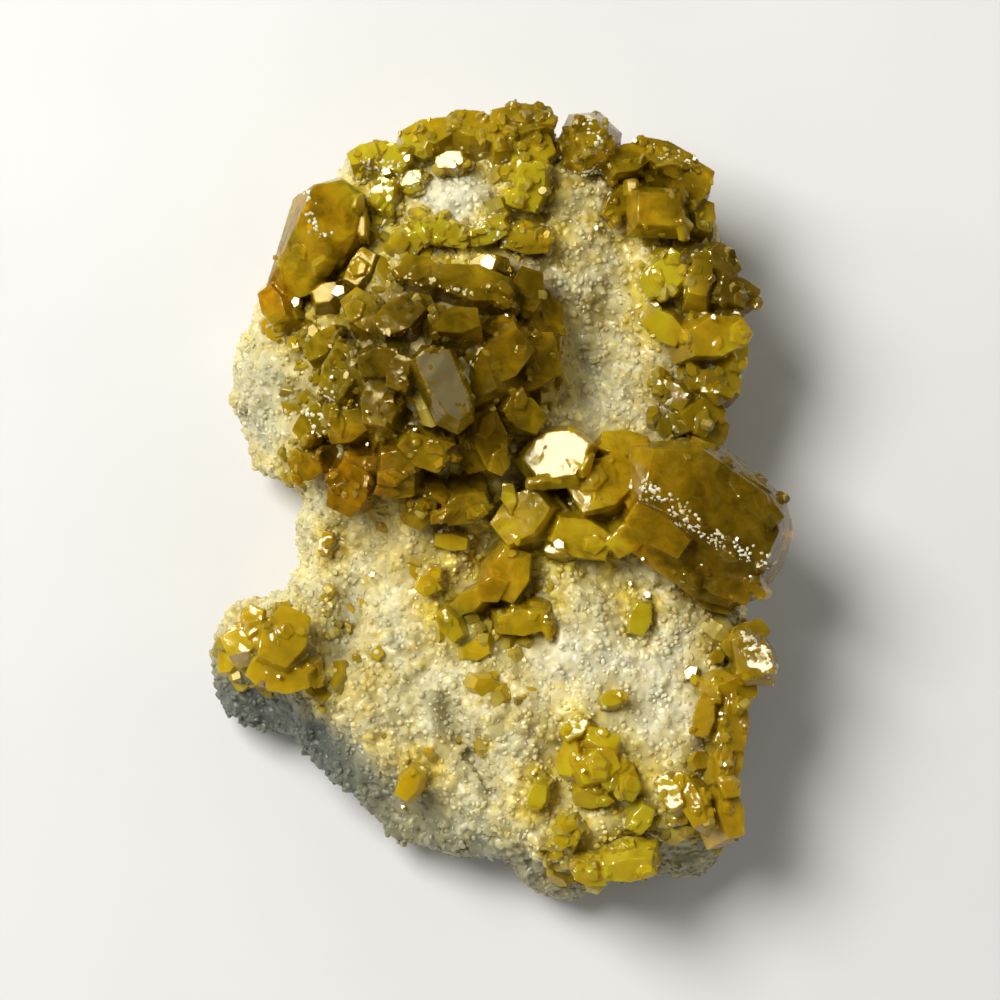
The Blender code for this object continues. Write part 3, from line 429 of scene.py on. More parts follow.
def furrows(points):
    """How far into a furrow each point of the front is, from 0 to 1."""
    deepest = np.zeros(len(points))
    for start, end, half_width, _ in GROOVES:
        away = segment_distance(points[:, :2], start, end)
        away += FURROW_WANDER[0] * noise_at(points, FURROW_WANDER[1])
        deepest = np.maximum(deepest, np.exp(-((away / half_width) ** 2)))
    return deepest


# ---------------------------------------------------------------------------
# Meshes and objects


def new_object(name, data):
    """A new object that is in the scene."""
    obj = bpy.data.objects.new(name, data)
    bpy.context.scene.collection.objects.link(obj)
    return obj


def object_of(name, bm, smooth=False):
    """Makes a mesh object of a bmesh in millimetres."""
    bmesh.ops.scale(bm, vec=(MM, MM, MM), verts=bm.verts)
    mesh = bpy.data.meshes.new(name)
    bm.to_mesh(mesh)
    bm.free()
    if smooth:
        mesh.shade_smooth()
    return new_object(name, mesh)


def plain_mesh(obj):
    """Turns what the object's modifiers make into its own mesh and clears them."""
    graph = bpy.context.evaluated_depsgraph_get()
    mesh = bpy.data.meshes.new_from_object(obj.evaluated_get(graph))
    obj.modifiers.clear()
    old, obj.data = obj.data, mesh
    bpy.data.meshes.remove(old)
    mesh.name = obj.name
    return obj


def remove(*objects):
    for obj in objects:
        mesh = obj.data
        bpy.data.objects.remove(obj)
        if mesh and not mesh.users:
            bpy.data.meshes.remove(mesh)


def join(name, objects):
    """One object of several, without joining their surfaces."""
    bm = bmesh.new()
    for obj in objects:
        bm.from_mesh(obj.data)
    mesh = bpy.data.meshes.new(name)
    bm.to_mesh(mesh)
    bm.free()
    remove(*objects)
    return new_object(name, mesh)


def finish_piece(obj, material, slot, *nodes):
    obj.data.materials.clear()
    obj.data.materials.append(material)
    for polygon in obj.data.polygons:
        polygon.material_index = 0
    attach(obj, BODY)
    if nodes:
        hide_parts(*nodes)


def hull_object(name, corners):
    bm = bmesh.new()
    verts = [bm.verts.new(corner) for corner in corners]
    bmesh.ops.convex_hull(bm, input=verts)
    bmesh.ops.delete(bm, geom=[v for v in bm.verts if not v.link_faces], context="VERTS")
    bmesh.ops.recalc_face_normals(bm, faces=bm.faces)
    return object_of(name, bm)


def ring_of(shape, scale, level):
    return [(x * scale, y * scale, level) for x, y in shape]


def grain_shapes():
    """Four grains a millimetre across: two worn ones, a point and a block. Their bases are below zero."""
    six = [(0.5, 0.0), (0.26, 0.42), (-0.22, 0.46), (-0.5, 0.04), (-0.26, -0.4), (0.24, -0.45)]
    five = [(0.48, 0.06), (0.1, 0.46), (-0.44, 0.28), (-0.4, -0.3), (0.14, -0.46)]
    worn = ring_of(six, 0.8, -0.35) + ring_of(six, 1.0, 0.02) + ring_of(five, 0.72, 0.3) + [(0.02, 0.0, 0.46)]
    lump = ring_of(five, 0.8, -0.35) + ring_of(five, 1.05, 0.0) + ring_of(six, 0.66, 0.28)
    lump.append((-0.05, 0.04, 0.4))
    point = ring_of(six, 0.9, -0.35) + ring_of(six, 0.98, 0.08) + [(0.05, -0.03, 0.6), (-0.06, 0.05, 0.56)]
    block = ring_of(five, 0.85, -0.35) + ring_of(five, 0.98, 0.05) + ring_of(five, 0.62, 0.4)
    shapes = []
    for name, corners in (("worn", worn), ("lump", lump), ("point", point), ("block", block)):
        shapes.append(hull_object(name, corners))
    for shape in shapes[:2]:
        shape.data.shade_smooth()
    return shapes


def growth_shapes():
    """A flat plate and a blocky bud a millimetre long, which crystals carry on their faces."""
    five = [(0.5, 0.06), (0.1, 0.4), (-0.44, 0.3), (-0.5, -0.22), (-0.02, -0.42)]
    plate = ring_of(five, 1.0, -0.14) + ring_of(five, 1.0, 0.07) + ring_of(five, 0.9, 0.13)
    six = [(0.5, 0.12), (0.12, 0.42), (-0.42, 0.3), (-0.5, -0.14), (-0.08, -0.42), (0.42, -0.3)]
    bud = ring_of(six, 0.9, -0.4) + ring_of(six, 1.0, 0.1) + ring_of(six, 0.74, 0.36)
    shapes = [hull_object("plate", plate), hull_object("bud", bud)]
    for shape in shapes:
        heights = [vert.co.z / MM for vert in shape.data.vertices]
        set_attribute(shape.data, "foot", [float(height < 0.12) for height in heights], "POINT")
    return shapes


# ---------------------------------------------------------------------------
# Geometry Nodes that scatter small shapes over a surface


class Tree:
    """A node tree under construction, with short ways to add nodes and link them."""

    def __init__(self, tree):
        self.tree = tree

    def add(self, kind, settings=None, numbered=None, **inputs):
        """A new node with these settings, and these values or outputs in its inputs."""
        node = self.tree.nodes.new(kind)
        for name, value in (settings or {}).items():
            setattr(node, name, value)
        for number, value in (numbered or {}).items():
            self.feed(node.inputs[number], value)
        for name, value in inputs.items():
            self.feed(node.inputs[name.replace("_", " ")], value)
        return node

    def math(self, operation, first, second):
        """Output of a sum on two values."""
        return self.add("ShaderNodeMath", {"operation": operation}, {0: first, 1: second}).outputs[0]

    def attribute(self, name):
        """Output of an attribute of the surface."""
        return self.add("ShaderNodeAttribute", {"attribute_name": name}).outputs["Fac"]

    def feed(self, socket, value):
        if isinstance(value, bpy.types.NodeSocket):
            self.tree.links.new(value, socket)
        else:
            socket.default_value = value


def scatter_tree(name, shapes):
    """Scatters the shapes over a surface, each lying on it with its own turn, tilt and size."""
    tree = bpy.data.node_groups.new(name, "GeometryNodeTree")
    face = tree.interface
    face.new_socket("Surface", in_out="INPUT", socket_type="NodeSocketGeometry")
    for label in Layer._fields:
        face.new_socket(label.capitalize(), in_out="INPUT", socket_type="NodeSocketFloat")
    face.new_socket("Seed", in_out="INPUT", socket_type="NodeSocketInt")
    face.new_socket("Finish", in_out="INPUT", socket_type="NodeSocketMaterial")
    face.new_socket("Scattered", in_out="OUTPUT", socket_type="NodeSocketGeometry")
    t = Tree(tree)
    given = t.add("NodeGroupInput").outputs
    cover = t.add("GeometryNodeInputNamedAttribute", {"data_type": "FLOAT"}, Name="cover")
    size = t.add("GeometryNodeInputNamedAttribute", {"data_type": "FLOAT"}, Name="size")
    spread = t.add(
        "GeometryNodeDistributePointsOnFaces",
        {"distribute_method": "POISSON"},
        Mesh=given["Surface"],
        Distance_Min=given["Spacing"],
        Density_Max=given["Density"],
        Density_Factor=cover.outputs["Attribute"],
        Seed=given["Seed"],
    )

    tilt_down, turn_down = t.math("MULTIPLY", given["Tilt"], -1.0), t.math("MULTIPLY", given["Turn"], -1.0)
    low = t.add("ShaderNodeCombineXYZ", X=tilt_down, Y=tilt_down, Z=turn_down)
    high = t.add("ShaderNodeCombineXYZ", X=given["Tilt"], Y=given["Tilt"], Z=given["Turn"])
    turns = t.add(
        "FunctionNodeRandomValue",
        {"data_type": "FLOAT_VECTOR"},
        Min=low.outputs[0],
        Max=high.outputs[0],
        Seed=given["Seed"],
    )
    as_turn = t.add("FunctionNodeEulerToRotation", Euler=turns.outputs["Value"])
    around = {0: spread.outputs["Rotation"], 1: as_turn.outputs[0]}
    rotation = t.add("FunctionNodeRotateRotation", {"rotation_space": "LOCAL"}, around)

    chance = t.add("FunctionNodeRandomValue", {"data_type": "FLOAT"}, Seed=given["Seed"])
    skewed = t.math("POWER", chance.outputs["Value"], SMALL_SHARE)
    length = t.add("ShaderNodeMapRange", Value=skewed, To_Min=given["Smallest"], To_Max=given["Largest"])
    sized = t.math("MULTIPLY", length.outputs[0], size.outputs["Attribute"])
    least, most = STRETCH
    squash = t.add("FunctionNodeRandomValue", {"data_type": "FLOAT_VECTOR"}, Min=least, Max=most, Seed=5)
    stretch = t.add("ShaderNodeVectorMath", {"operation": "SCALE"}, {0: squash.outputs["Value"]}, Scale=sized)

    sunk = t.math("MULTIPLY", given["Sink"], -1.0)
    down = t.add("ShaderNodeVectorMath", {"operation": "SCALE"}, {0: spread.outputs["Normal"]}, Scale=sunk)
    placed = t.add("GeometryNodeSetPosition", Geometry=spread.outputs["Points"], Offset=down.outputs[0])

    kind = t.add("FunctionNodeRandomValue", {"data_type": "INT"}, {4: 0, 5: len(shapes) - 1}, Seed=11)
    joined = t.add("GeometryNodeJoinGeometry")
    for number, shape in enumerate(shapes):
        same = {2: kind.outputs[2], 3: number}
        is_kind = t.add("FunctionNodeCompare", {"data_type": "INT", "operation": "EQUAL"}, same)
        info = t.add("GeometryNodeObjectInfo", Object=shape)
        placing = t.add(
            "GeometryNodeInstanceOnPoints",
            Points=placed.outputs[0],
            Selection=is_kind.outputs[0],
            Instance=info.outputs["Geometry"],
            Rotation=rotation.outputs[0],
            Scale=stretch.outputs[0],
        )
        tree.links.new(placing.outputs[0], joined.inputs[0])
    tone = t.add("FunctionNodeRandomValue", {"data_type": "FLOAT"}, Seed=23)
    toned = t.add(
        "GeometryNodeStoreNamedAttribute",
        {"data_type": "FLOAT", "domain": "INSTANCE"},
        Geometry=joined.outputs[0],
        Name="tone",
        Value=tone.outputs[1],
    )
    real = t.add("GeometryNodeRealizeInstances", Geometry=toned.outputs[0])
    finished = t.add("GeometryNodeSetMaterial", Geometry=real.outputs[0], Material=given["Finish"])
    t.add("NodeGroupOutput", numbered={0: finished.outputs[0]})
    return tree


def scattered(name, surface, tree, layer, seed):
    """A plain mesh object of the layer that the tree scatters over a copy of the surface."""
    values = {**layer._asdict(), "seed": seed}
    values.update(spacing=layer.spacing * MM, density=layer.density / MM**2, sink=layer.sink * MM)
    obj = new_object(name, surface.data.copy())
    modifier = obj.modifiers.new(name, "NODES")
    modifier.node_group = tree
    for item in tree.interface.items_tree:
        if item.item_type == "SOCKET" and item.in_out == "INPUT" and item.name.lower() in values:
            modifier[item.identifier] = values[item.name.lower()]
    return plain_mesh(obj)


def resized(layer, factor):
    return layer._replace(smallest=layer.smallest * factor, largest=layer.largest * factor)


def set_attribute(mesh, name, values, domain="FACE"):
    mesh.attributes.new(name, "FLOAT", domain).data.foreach_set("value", values)


# ---------------------------------------------------------------------------
# Materials


def new_material(name):
    material = bpy.data.materials.new(name)
    material.use_nodes = True
    material.node_tree.nodes.clear()
    t = Tree(material.node_tree)
    shader = t.add("ShaderNodeBsdfPrincipled")
    out = t.add("ShaderNodeOutputMaterial")
    t.feed(out.inputs["Surface"], shader.outputs[0])
    return material, t, shader, out


def mixed(t, factor, first, second, blend="MIX"):
    """Output of a colour mix of two colours or sockets."""
    settings = {"data_type": "RGBA", "blend_type": blend}
    return t.add("ShaderNodeMix", settings, {6: first, 7: second}, Factor=factor).outputs[2]


def ranged(t, value, low, high, to_low=0.0, to_high=1.0):
    """Output of a value moved from one range to another."""
    ends = {"From_Min": low, "From_Max": high, "To_Min": to_low, "To_Max": to_high}
    return t.add("ShaderNodeMapRange", Value=value, **ends).outputs[0]


def scaled(t, value, amount):
    """Output of a value multiplied by a number or by another value."""
    return t.math("MULTIPLY", value, amount)


def scaled_colour(t, colour, amount):
    return t.add("ShaderNodeVectorMath", {"operation": "SCALE"}, {0: colour}, Scale=amount).outputs[0]


def clouded(t, place, size, detail=4.0, distortion=0.6):
    """Output of a noise whose lumps are about this size."""
    values = {"Scale": 1 / size, "Detail": detail, "Roughness": 0.6, "Distortion": distortion}
    return t.add("ShaderNodeTexNoise", Vector=place, **values).outputs[0]


def growth_group():
    """Cloudy shade, pale veils, uneven gloss and fine growth lines of a crystal."""
    group = bpy.data.node_groups.new("crystal_growth", "ShaderNodeTree")
    face = group.interface
    face.new_socket("Place", in_out="INPUT", socket_type="NodeSocketVector")
    for label, default in (("Darkest", 0.6), ("Smoothest", 0.05), ("Roughest", 0.35)):
        face.new_socket(label, in_out="INPUT", socket_type="NodeSocketFloat").default_value = default
    for label in ("Shade", "Veil", "Roughness", "Height"):
        face.new_socket(label, in_out="OUTPUT", socket_type="NodeSocketFloat")
    t = Tree(group)
    given = t.add("NodeGroupInput").outputs
    cloud = clouded(t, given["Place"], 1.7 * MM, 5.0)
    wisp = clouded(t, given["Place"], 0.9 * MM, 4.0, 1.5)
    stretched = t.add("ShaderNodeMapping", Vector=given["Place"])
    stretched.inputs["Scale"].default_value = (900.0, 900.0, 5200.0)
    stretched.inputs["Rotation"].default_value = (0.5, 0.3, 0.2)
    line = t.add("ShaderNodeTexNoise", Vector=stretched.outputs[0], Scale=1.0, Detail=3.0)
    out = t.add("NodeGroupOutput")
    t.feed(out.inputs["Shade"], ranged(t, cloud, 0.35, 0.65, given["Darkest"], 1.1))
    t.feed(out.inputs["Veil"], ranged(t, wisp, 0.5, 0.75))
    t.feed(out.inputs["Roughness"], ranged(t, wisp, 0.35, 0.65, given["Smoothest"], given["Roughest"]))
    t.feed(out.inputs["Height"], line.outputs[0])
    return group


def ramp(t, value, stops):
    """Output of a colour ramp over -1 to 1."""
    node = t.add("ShaderNodeValToRGB", Fac=ranged(t, value, -1.0, 1.0))
    stop = node.color_ramp.elements
    stop[0].position, stop[0].color = 0.0, (*stops[0], 1)
    stop[1].position, stop[1].color = 1.0, (*stops[2], 1)
    stop.new(0.5).color = (*stops[1], 1)
    return node.outputs[0]


def barite(name, stops, finish):
    """Barite that is seen into, from pale to brown by its depth and from olive to orange by its warmth."""
    material, t, shader, out = new_material(name)
    place = t.add("ShaderNodeTexCoord").outputs["Object"]
    warmth, depth, hollow, foot, tone, dull = (
        t.attribute(label) for label in ("warmth", "depth", "hollow", "foot", "tone", "dull")
    )
    growth = t.add(
        "ShaderNodeGroup",
        {"node_tree": bpy.data.node_groups["crystal_growth"]},
        Place=place,
        Darkest=finish.darkest,
        Smoothest=finish.smoothest,
        Roughest=finish.roughest,
    )
    body = ramp(t, depth, stops)
    tint = ramp(t, warmth, ((0.88, 1.02, 0.8), (1.0, 1.0, 1.0), (1.05, 0.72, 0.4)))
    tinted = mixed(t, 1.0, body, tint, "MULTIPLY")
    veil = ranged(t, growth.outputs["Veil"], 0.0, 1.0, 0.0, 0.16)
    veiled = mixed(t, veil, tinted, VEIL_COLOUR)
    # painted shade: dark brown where neighbouring crystals hide the sky, weaker on thin finishes
    shaded_in_hollows = mixed(t, ranged(t, hollow, 0.1, 0.75, 0.0, 0.62 - 0.6 * finish.thin), veiled, PAINTED_SHADE_COLOUR)
    footed = mixed(t, ranged(t, foot, 0.0, 0.8, 0.0, finish.thin), shaded_in_hollows, FOOT_COLOUR)
    shade = scaled(t, growth.outputs["Shade"], ranged(t, tone, 0.0, 1.0, 1.05, 0.65))
    shaded = scaled_colour(t, footed, shade)
    # painted sheen: the frosted face's grey reflection put into its colour
    t.feed(shader.inputs["Base Color"], mixed(t, dull, shaded, DULL_SHEEN_COLOUR))
    t.feed(shader.inputs["Roughness"], t.math("MAXIMUM", growth.outputs["Roughness"], scaled(t, dull, 0.35)))
    bump = t.add("ShaderNodeBump", Height=growth.outputs["Height"], Distance=0.00006, Strength=0.4)
    t.feed(shader.inputs["Normal"], bump.outputs[0])
    shader.inputs["Specular Tint"].default_value = (*finish.gleam, 1)
    shader.inputs["Subsurface Weight"].default_value = finish.milky
    shader.inputs["Subsurface Radius"].default_value = (1.0, 0.6, 0.1)
    shader.inputs["Subsurface Scale"].default_value = 0.0009
    shader.inputs["Transmission Weight"].default_value = finish.clear
    shader.inputs["IOR"].default_value = 1.64
    inside = t.add("ShaderNodeVolumeAbsorption", Color=(*finish.soak, 1), Density=finish.thick)
    t.feed(out.inputs["Volume"], inside.outputs[0])
    return material


def druse_material(name, sizes, contrast, milky):
    """Sugary grains: cream on the front, golden where stained, grey and made darker with painted shade low on
    the sides, and painted shade along the furrows.
    """
    material, t, shader, _ = new_material(name)
    place = t.add("ShaderNodeTexCoord").outputs["Object"]
    tone, golden, pale, cool, depth, furrow = (
        t.attribute(label) for label in ("tone", "golden", "pale", "cool", "depth", "furrow")
    )
    drift = ranged(t, clouded(t, place, 4.5 * MM), 0.4, 0.62, 0.0, 0.75)
    patchy = ranged(t, clouded(t, place, 2.4 * MM, 5.0), 0.36, 0.64, 0.8, 1.1)
    clean = mixed(t, drift, (*sizes.druse_colour, 1), (*sizes.stain_colour, 1))
    blotch = ranged(t, clouded(t, place, 2.1 * MM, 3.0, 1.2), 0.54, 0.7, 0.0, 0.7)
    clean = mixed(t, blotch, clean, BLOTCH_COLOUR)
    clean = mixed(t, pale, clean, PALE_COLOUR)
    patch = scaled(t, golden, ranged(t, clouded(t, place, 1.6 * MM), 0.36, 0.6, 0.45, 1.0))
    bright = mixed(t, tone, *GOLD_GRAIN)
    gold = mixed(t, ranged(t, depth, -0.2, 0.6), bright, DEEP_GRAIN)
    stained = mixed(t, patch, clean, gold)
    # painted shade: the druse made darker along the furrows
    furrow_shaded = mixed(t, scaled(t, furrow, 0.5), stained, FURROW_SHADE_COLOUR)
    # the lower sides: their own grey, made darker as painted shade
    based = mixed(t, cool, furrow_shaded, (*sizes.side_colour, 1))
    shade = scaled(t, patchy, ranged(t, tone, 0.0, 1.0, 1.0 - contrast, 1.0 + 0.4 * contrast))
    t.feed(shader.inputs["Base Color"], scaled_colour(t, based, shade))
    t.feed(shader.inputs["Roughness"], ranged(t, tone, 0.0, 1.0, 0.6, 0.2))
    fine = t.add("ShaderNodeTexNoise", Vector=place, Scale=4500.0, Detail=2.0)
    bump = t.add("ShaderNodeBump", Height=fine.outputs[0], Distance=0.00003, Strength=0.3)
    t.feed(shader.inputs["Normal"], bump.outputs[0])
    shader.inputs["Subsurface Weight"].default_value = milky
    shader.inputs["Subsurface Radius"].default_value = (1.0, 0.85, 0.5)
    shader.inputs["Subsurface Scale"].default_value = 0.0012
    shader.inputs["IOR"].default_value = 1.5
    return material


def dust_and_glint_material():
    """Pale grains that catch the light; their pale colour is partly their own and partly a painted glint."""
    material, t, shader, _ = new_material("dusting")
    tone = t.attribute("tone")
    place = t.add("ShaderNodeTexCoord").outputs["Object"]
    warm = ranged(t, clouded(t, place, 1.2 * MM), 0.4, 0.65)
    t.feed(shader.inputs["Base Color"], mixed(t, warm, *DUST_AND_GLINT_COLOURS))
    t.feed(shader.inputs["Roughness"], ranged(t, tone, 0.0, 1.0, 0.08, 0.4))
    shader.inputs["Subsurface Weight"].default_value = 0.5
    shader.inputs["Subsurface Radius"].default_value = (1.0, 0.9, 0.7)
    shader.inputs["Subsurface Scale"].default_value = 0.0005
    return material


# ---------------------------------------------------------------------------
# Pieces


def solid_copy(node):
    """A copy of a solid's mesh with its points merged and its flat faces whole, in millimetres."""
    bm = bmesh.new()
    bm.from_mesh(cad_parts[node].data)
    bmesh.ops.scale(bm, vec=(1 / MM,) * 3, verts=bm.verts)
    bmesh.ops.remove_doubles(bm, verts=bm.verts, dist=0.002)
    bmesh.ops.dissolve_limit(bm, angle_limit=math.radians(1), verts=bm.verts, edges=bm.edges)
    bmesh.ops.recalc_face_normals(bm, faces=bm.faces)
    return bm


def crystal_tree():
    """All the crystals' solids in one tree, for asking whether a point is inside one."""
    return tree_of(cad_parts[node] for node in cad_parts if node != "rock")


def covered_ground(mesh):
    """Which faces of the rock's skin lie inside a crystal."""
    crystals = crystal_tree()
    centres = mesh_points(mesh, "polygons")
    centres[:, :2] -= MIDDLE
    return np.array([buried(crystals, Vector((x, y, z - 0.4)) * MM) for x, y, z in centres])


def buried(tree, point):
    """Whether a point is inside a crystal, by how many faces are straight above it."""
    hits, at = 0, point.copy()
    while hits < 20:
        place, _, _, _ = tree.ray_cast(at, Vector((0, 0, 1)))
        if place is None:
            break
        hits += 1
        at = place + Vector((0, 0, 1e-6))
    return hits % 2 == 1


def mesh_points(mesh, kind="vertices"):
    """Places of the mesh's points or of its faces' middles, in millimetres and in the tables' frame."""
    items = getattr(mesh, kind)
    values = np.empty(len(items) * 3)
    items.foreach_get("co" if kind == "vertices" else "center", values)
    points = values.reshape(-1, 3) / MM
    points[:, :2] += MIDDLE
    return points


def move_points(mesh, points):
    """Puts the mesh's points at these places, which are in millimetres and in the tables' frame."""
    moved = points.copy()
    moved[:, :2] -= MIDDLE
    mesh.vertices.foreach_set("co", (moved * MM).ravel())


def face_normals(mesh):
    values = np.empty(len(mesh.polygons) * 3)
    mesh.polygons.foreach_get("normal", values)
    return values.reshape(-1, 3)


def shade_crystal(mesh):
    warmth, depth = shades(mesh_points(mesh))
    set_attribute(mesh, "warmth", warmth, "POINT")
    set_attribute(mesh, "depth", depth, "POINT")
    centres, normals = mesh_points(mesh, "polygons"), face_normals(mesh)
    # marks the frosted face whose grey sheen is painted into its colour
    x, y, radius = DULL_FACE
    near = (np.hypot(centres[:, 0] - x, centres[:, 1] - y) < radius) & (normals[:, 2] > 0.985)
    set_attribute(mesh, "dull", (near & (centres[:, 2] > DULL_FACE_ABOVE)).astype(float))


def tree_of(objects):
    """All the objects' faces in one tree, for looking up the nearest face or what a ray meets."""
    bm = bmesh.new()
    for obj in objects:
        bm.from_mesh(obj.data)
    tree = BVHTree.FromBMesh(bm)
    bm.free()
    return tree


def draw_onto(mesh, tree):
    """Draws the points of a skin back onto the flat faces that it was laid over."""
    for vert in mesh.vertices:
        place, _, _, _ = tree.find_nearest(vert.co, SNAP_REACH * MM)
        if place is not None:
            vert.co = place


def wave(mesh):
    """Makes the faces of crystals a little uneven."""
    points = mesh_points(mesh)
    normals = np.empty(len(points) * 3)
    mesh.vertices.foreach_get("normal", normals)
    height = WAVE * (noise_at(points, 1.0) + 0.5 * noise_at(points, 0.45))
    for x, y, radius in ETCHED:
        height[np.hypot(points[:, 0] - x, points[:, 1] - y) < radius] *= ETCHED_WAVE
    moved = points + normals.reshape(-1, 3) * height[:, None]
    x, y, radius, slope_x, slope_y = TURNED_FACE
    slope = slope_x * (points[:, 0] - x) + slope_y * (points[:, 1] - y)
    moved[:, 2] += slope * reach(points, x, y, radius / 1.3)
    move_points(mesh, moved)
    mesh.update()


def fused(obj, voxel, kept, sharp, wavy=False):
    """Lays one skin over all the closed shapes in a mesh, true to their flat faces."""
    flat_faces = tree_of([obj])
    remesh = obj.modifiers.new("skin", "REMESH")
    remesh.mode = "VOXEL"
    remesh.voxel_size = voxel * MM
    smooth = obj.modifiers.new("smooth", "SMOOTH")
    smooth.factor = 0.5
    smooth.iterations = 1
    plain_mesh(obj)
    draw_onto(obj.data, flat_faces)
    if wavy:
        wave(obj.data)
    thin = obj.modifiers.new("thin", "DECIMATE")
    thin.ratio = kept
    plain_mesh(obj)
    obj.data.shade_smooth()
    obj.data.set_sharp_from_angle(angle=math.radians(sharp))
    return obj


def note_painted_shade(mesh, tree, ground):
    """Writes how much of the sky over each point of a skin is hidden, which is painted in as shade, and how
    near the druse it is.
    """
    rays = []
    for tilt, count in SHADE_RAYS:
        for number in range(count):
            around, out = 2 * math.pi * number / count, math.sin(tilt)
            rays.append(Vector((out * math.cos(around), out * math.sin(around), math.cos(tilt))))
    hidden, foot = [], []
    for vert in mesh.vertices:
        turn = vert.normal.to_track_quat("Z", "Y")
        start = vert.co + vert.normal * 0.04 * MM
        met = [tree.ray_cast(start, turn @ ray, SHADE_RAY_REACH * MM)[0] for ray in rays]
        hidden.append(sum(place is not None for place in met) / len(rays))
        away = ground.find_nearest(vert.co, FOOT * MM)[3]
        foot.append(0.0 if away is None else 1 - away / (FOOT * MM))
    set_attribute(mesh, "hollow", hidden, "POINT")
    set_attribute(mesh, "foot", foot, "POINT")


def away_from_clear_faces(points, normals):
    """1 where things may grow on a crystal, 0 on its clear faces."""
    open_ground = np.ones(len(points))
    for x, y, radius in CLEAR_FACES:
        near = np.hypot(points[:, 0] - x, points[:, 1] - y) < radius
        open_ground[near & (normals[:, 2] > 0.75)] = 0.0
    return open_ground


def build_crystals(name, group, plates, buds, sizes):
    """One group of crystals, with plates and buds grown on their faces, under one skin."""
    host = object_of(name + "_host", solid_copy(name))
    centres, normals = mesh_points(host.data, "polygons"), face_normals(host.data)
    cover = (centres[:, 2] > front_height(centres[:, :2]) - 0.6) * away_from_clear_faces(centres, normals)
    set_attribute(host.data, "cover", cover * np.clip((normals[:, 2] - 0.1) / 0.4, 0, 1))
    set_attribute(host.data, "size", np.ones(len(cover)))
    parts = [host]
    seed = sum(ord(letter) for letter in name)
    for tree, amount, layer in ((plates, group.plates, PLATES), (buds, group.buds, BUDS)):
        layer = resized(layer, sizes.growth_size)._replace(density=amount)
        parts.append(scattered(name + "_growth", host, tree, layer, seed))
    piece = fused(join(name + "_skin", parts), group.voxel, 0.3, 20, wavy=True)
    shade_crystal(piece.data)
    finish_piece(piece, bpy.data.materials[group.finish], "golden_barite", name)
    return piece


def ground_surface(name, cover, size):
    """A copy of the rock's skin that carries how thickly and how large things grow on it."""
    mesh = bpy.data.objects["rock_skin"].data.copy()
    for attribute, values in (("cover", cover), ("size", size)):
        set_attribute(mesh, attribute, values)
    return bpy.data.objects.new(name, mesh)


def operator(name):
    return getattr(bpy.ops.specimen, name)


class SpecimenSizes(bpy.types.PropertyGroup):
    """Sizes and colours of the specimen that a user would change."""

    grain_size: bpy.props.FloatProperty(
        name="Grain size", description="Width of the largest druse grains", unit="LENGTH", default=0.9 * MM
    )
    grain_spacing: bpy.props.FloatProperty(
        name="Grain spacing",
        description="Least distance between large druse grains",
        unit="LENGTH",
        default=LARGE_GRAINS.spacing * MM,
    )
    growth_size: bpy.props.FloatProperty(
        name="Growth size",
        description="Size of the plates on the crystals, as a factor",
        subtype="FACTOR",
        default=1.0,
        min=0.2,
        max=3.0,
    )
    druse_colour: bpy.props.FloatVectorProperty(
        name="Druse colour",
        description="Colour of clean druse",
        subtype="COLOR",
        default=(0.66, 0.61, 0.35),
    )
    stain_colour: bpy.props.FloatVectorProperty(
        name="Stain colour",
        description="Colour of stained druse",
        subtype="COLOR",
        default=(0.63, 0.52, 0.205),
    )
    # the sides' own grey, made darker as painted shade
    side_colour: bpy.props.FloatVectorProperty(
        name="Side colour",
        description="Colour of the grey sides",
        subtype="COLOR",
        default=(0.14, 0.152, 0.12),
    )
    barite_colour: bpy.props.FloatVectorProperty(
        name="Barite colour",
        description="Golden colour of crystals",
        subtype="COLOR",
        default=(0.9, 0.59, 0.015),
    )


class SPECIMEN_OT_finishes(bpy.types.Operator):
    """Make the materials of the rock, the druse and the crystals"""

    bl_idname = "specimen.finishes"
    bl_label = "Finishes"

    def execute(self, context):
        sizes = context.scene.specimen
        gold = sizes.barite_colour[:]
        pale = (min(1.0, 1.25 * gold[0]), min(1.0, 1.25 * gold[1]), 1.6 * gold[2])
        brown = (0.3 * gold[0], 0.28 * gold[1], 0.4 * gold[2])
        stops = (pale, gold, brown)
        growth_group()
        druse_material("druse", sizes, 0.16, 0.1)
        druse_material("drusy_rock", sizes, 0.2, 0.85)
        dust_and_glint_material()
        for name, finish in FINISHES.items():
            barite(name, stops, finish)
        return {"FINISHED"}


def tint_ground(mesh):
    """Writes where the rock is golden, pale, warm and deep, where its lower sides are grey with painted
    shade, and where its furrows run.
    """
    points = mesh_points(mesh)
    warmth, depth = shades(points)
    rough, pale = noise_at(points, 1.7), strongest(points, PALE_GROUND)
    crystals, halo = crystal_tree(), np.zeros(len(points))
    for vert in mesh.vertices:
        _, _, _, away = crystals.find_nearest(vert.co, HALO * MM)
        if away is not None:
            halo[vert.index] = 1 - away / (HALO * MM)
    golden = strongest(points, GOLDEN_GROUND) - 0.5 * pale + 0.3 * rough
    # grey of the lower front sides, made darker there as painted shade
    low, front = np.clip((9.5 - points[:, 2]) / 2.5, 0, 1), np.clip((-8.0 - points[:, 1]) / 6.0, 0, 1)
    cool = low * front * (1 - 0.35 * np.clip((points[:, 0] + 13) / 6, 0, 1))
    for name, values in (
        ("golden", np.clip(np.maximum(golden, 1.2 * halo + 0.3 * rough) * (1 - 0.8 * pale), 0, 1)),
        ("pale", pale),
        ("cool", np.maximum(cool, strongest(points, SHADED_GROUND))),
        ("warmth", warmth),
        ("depth", depth),
        ("furrow", furrows(points)),
    ):
        set_attribute(mesh, name, values, "POINT")


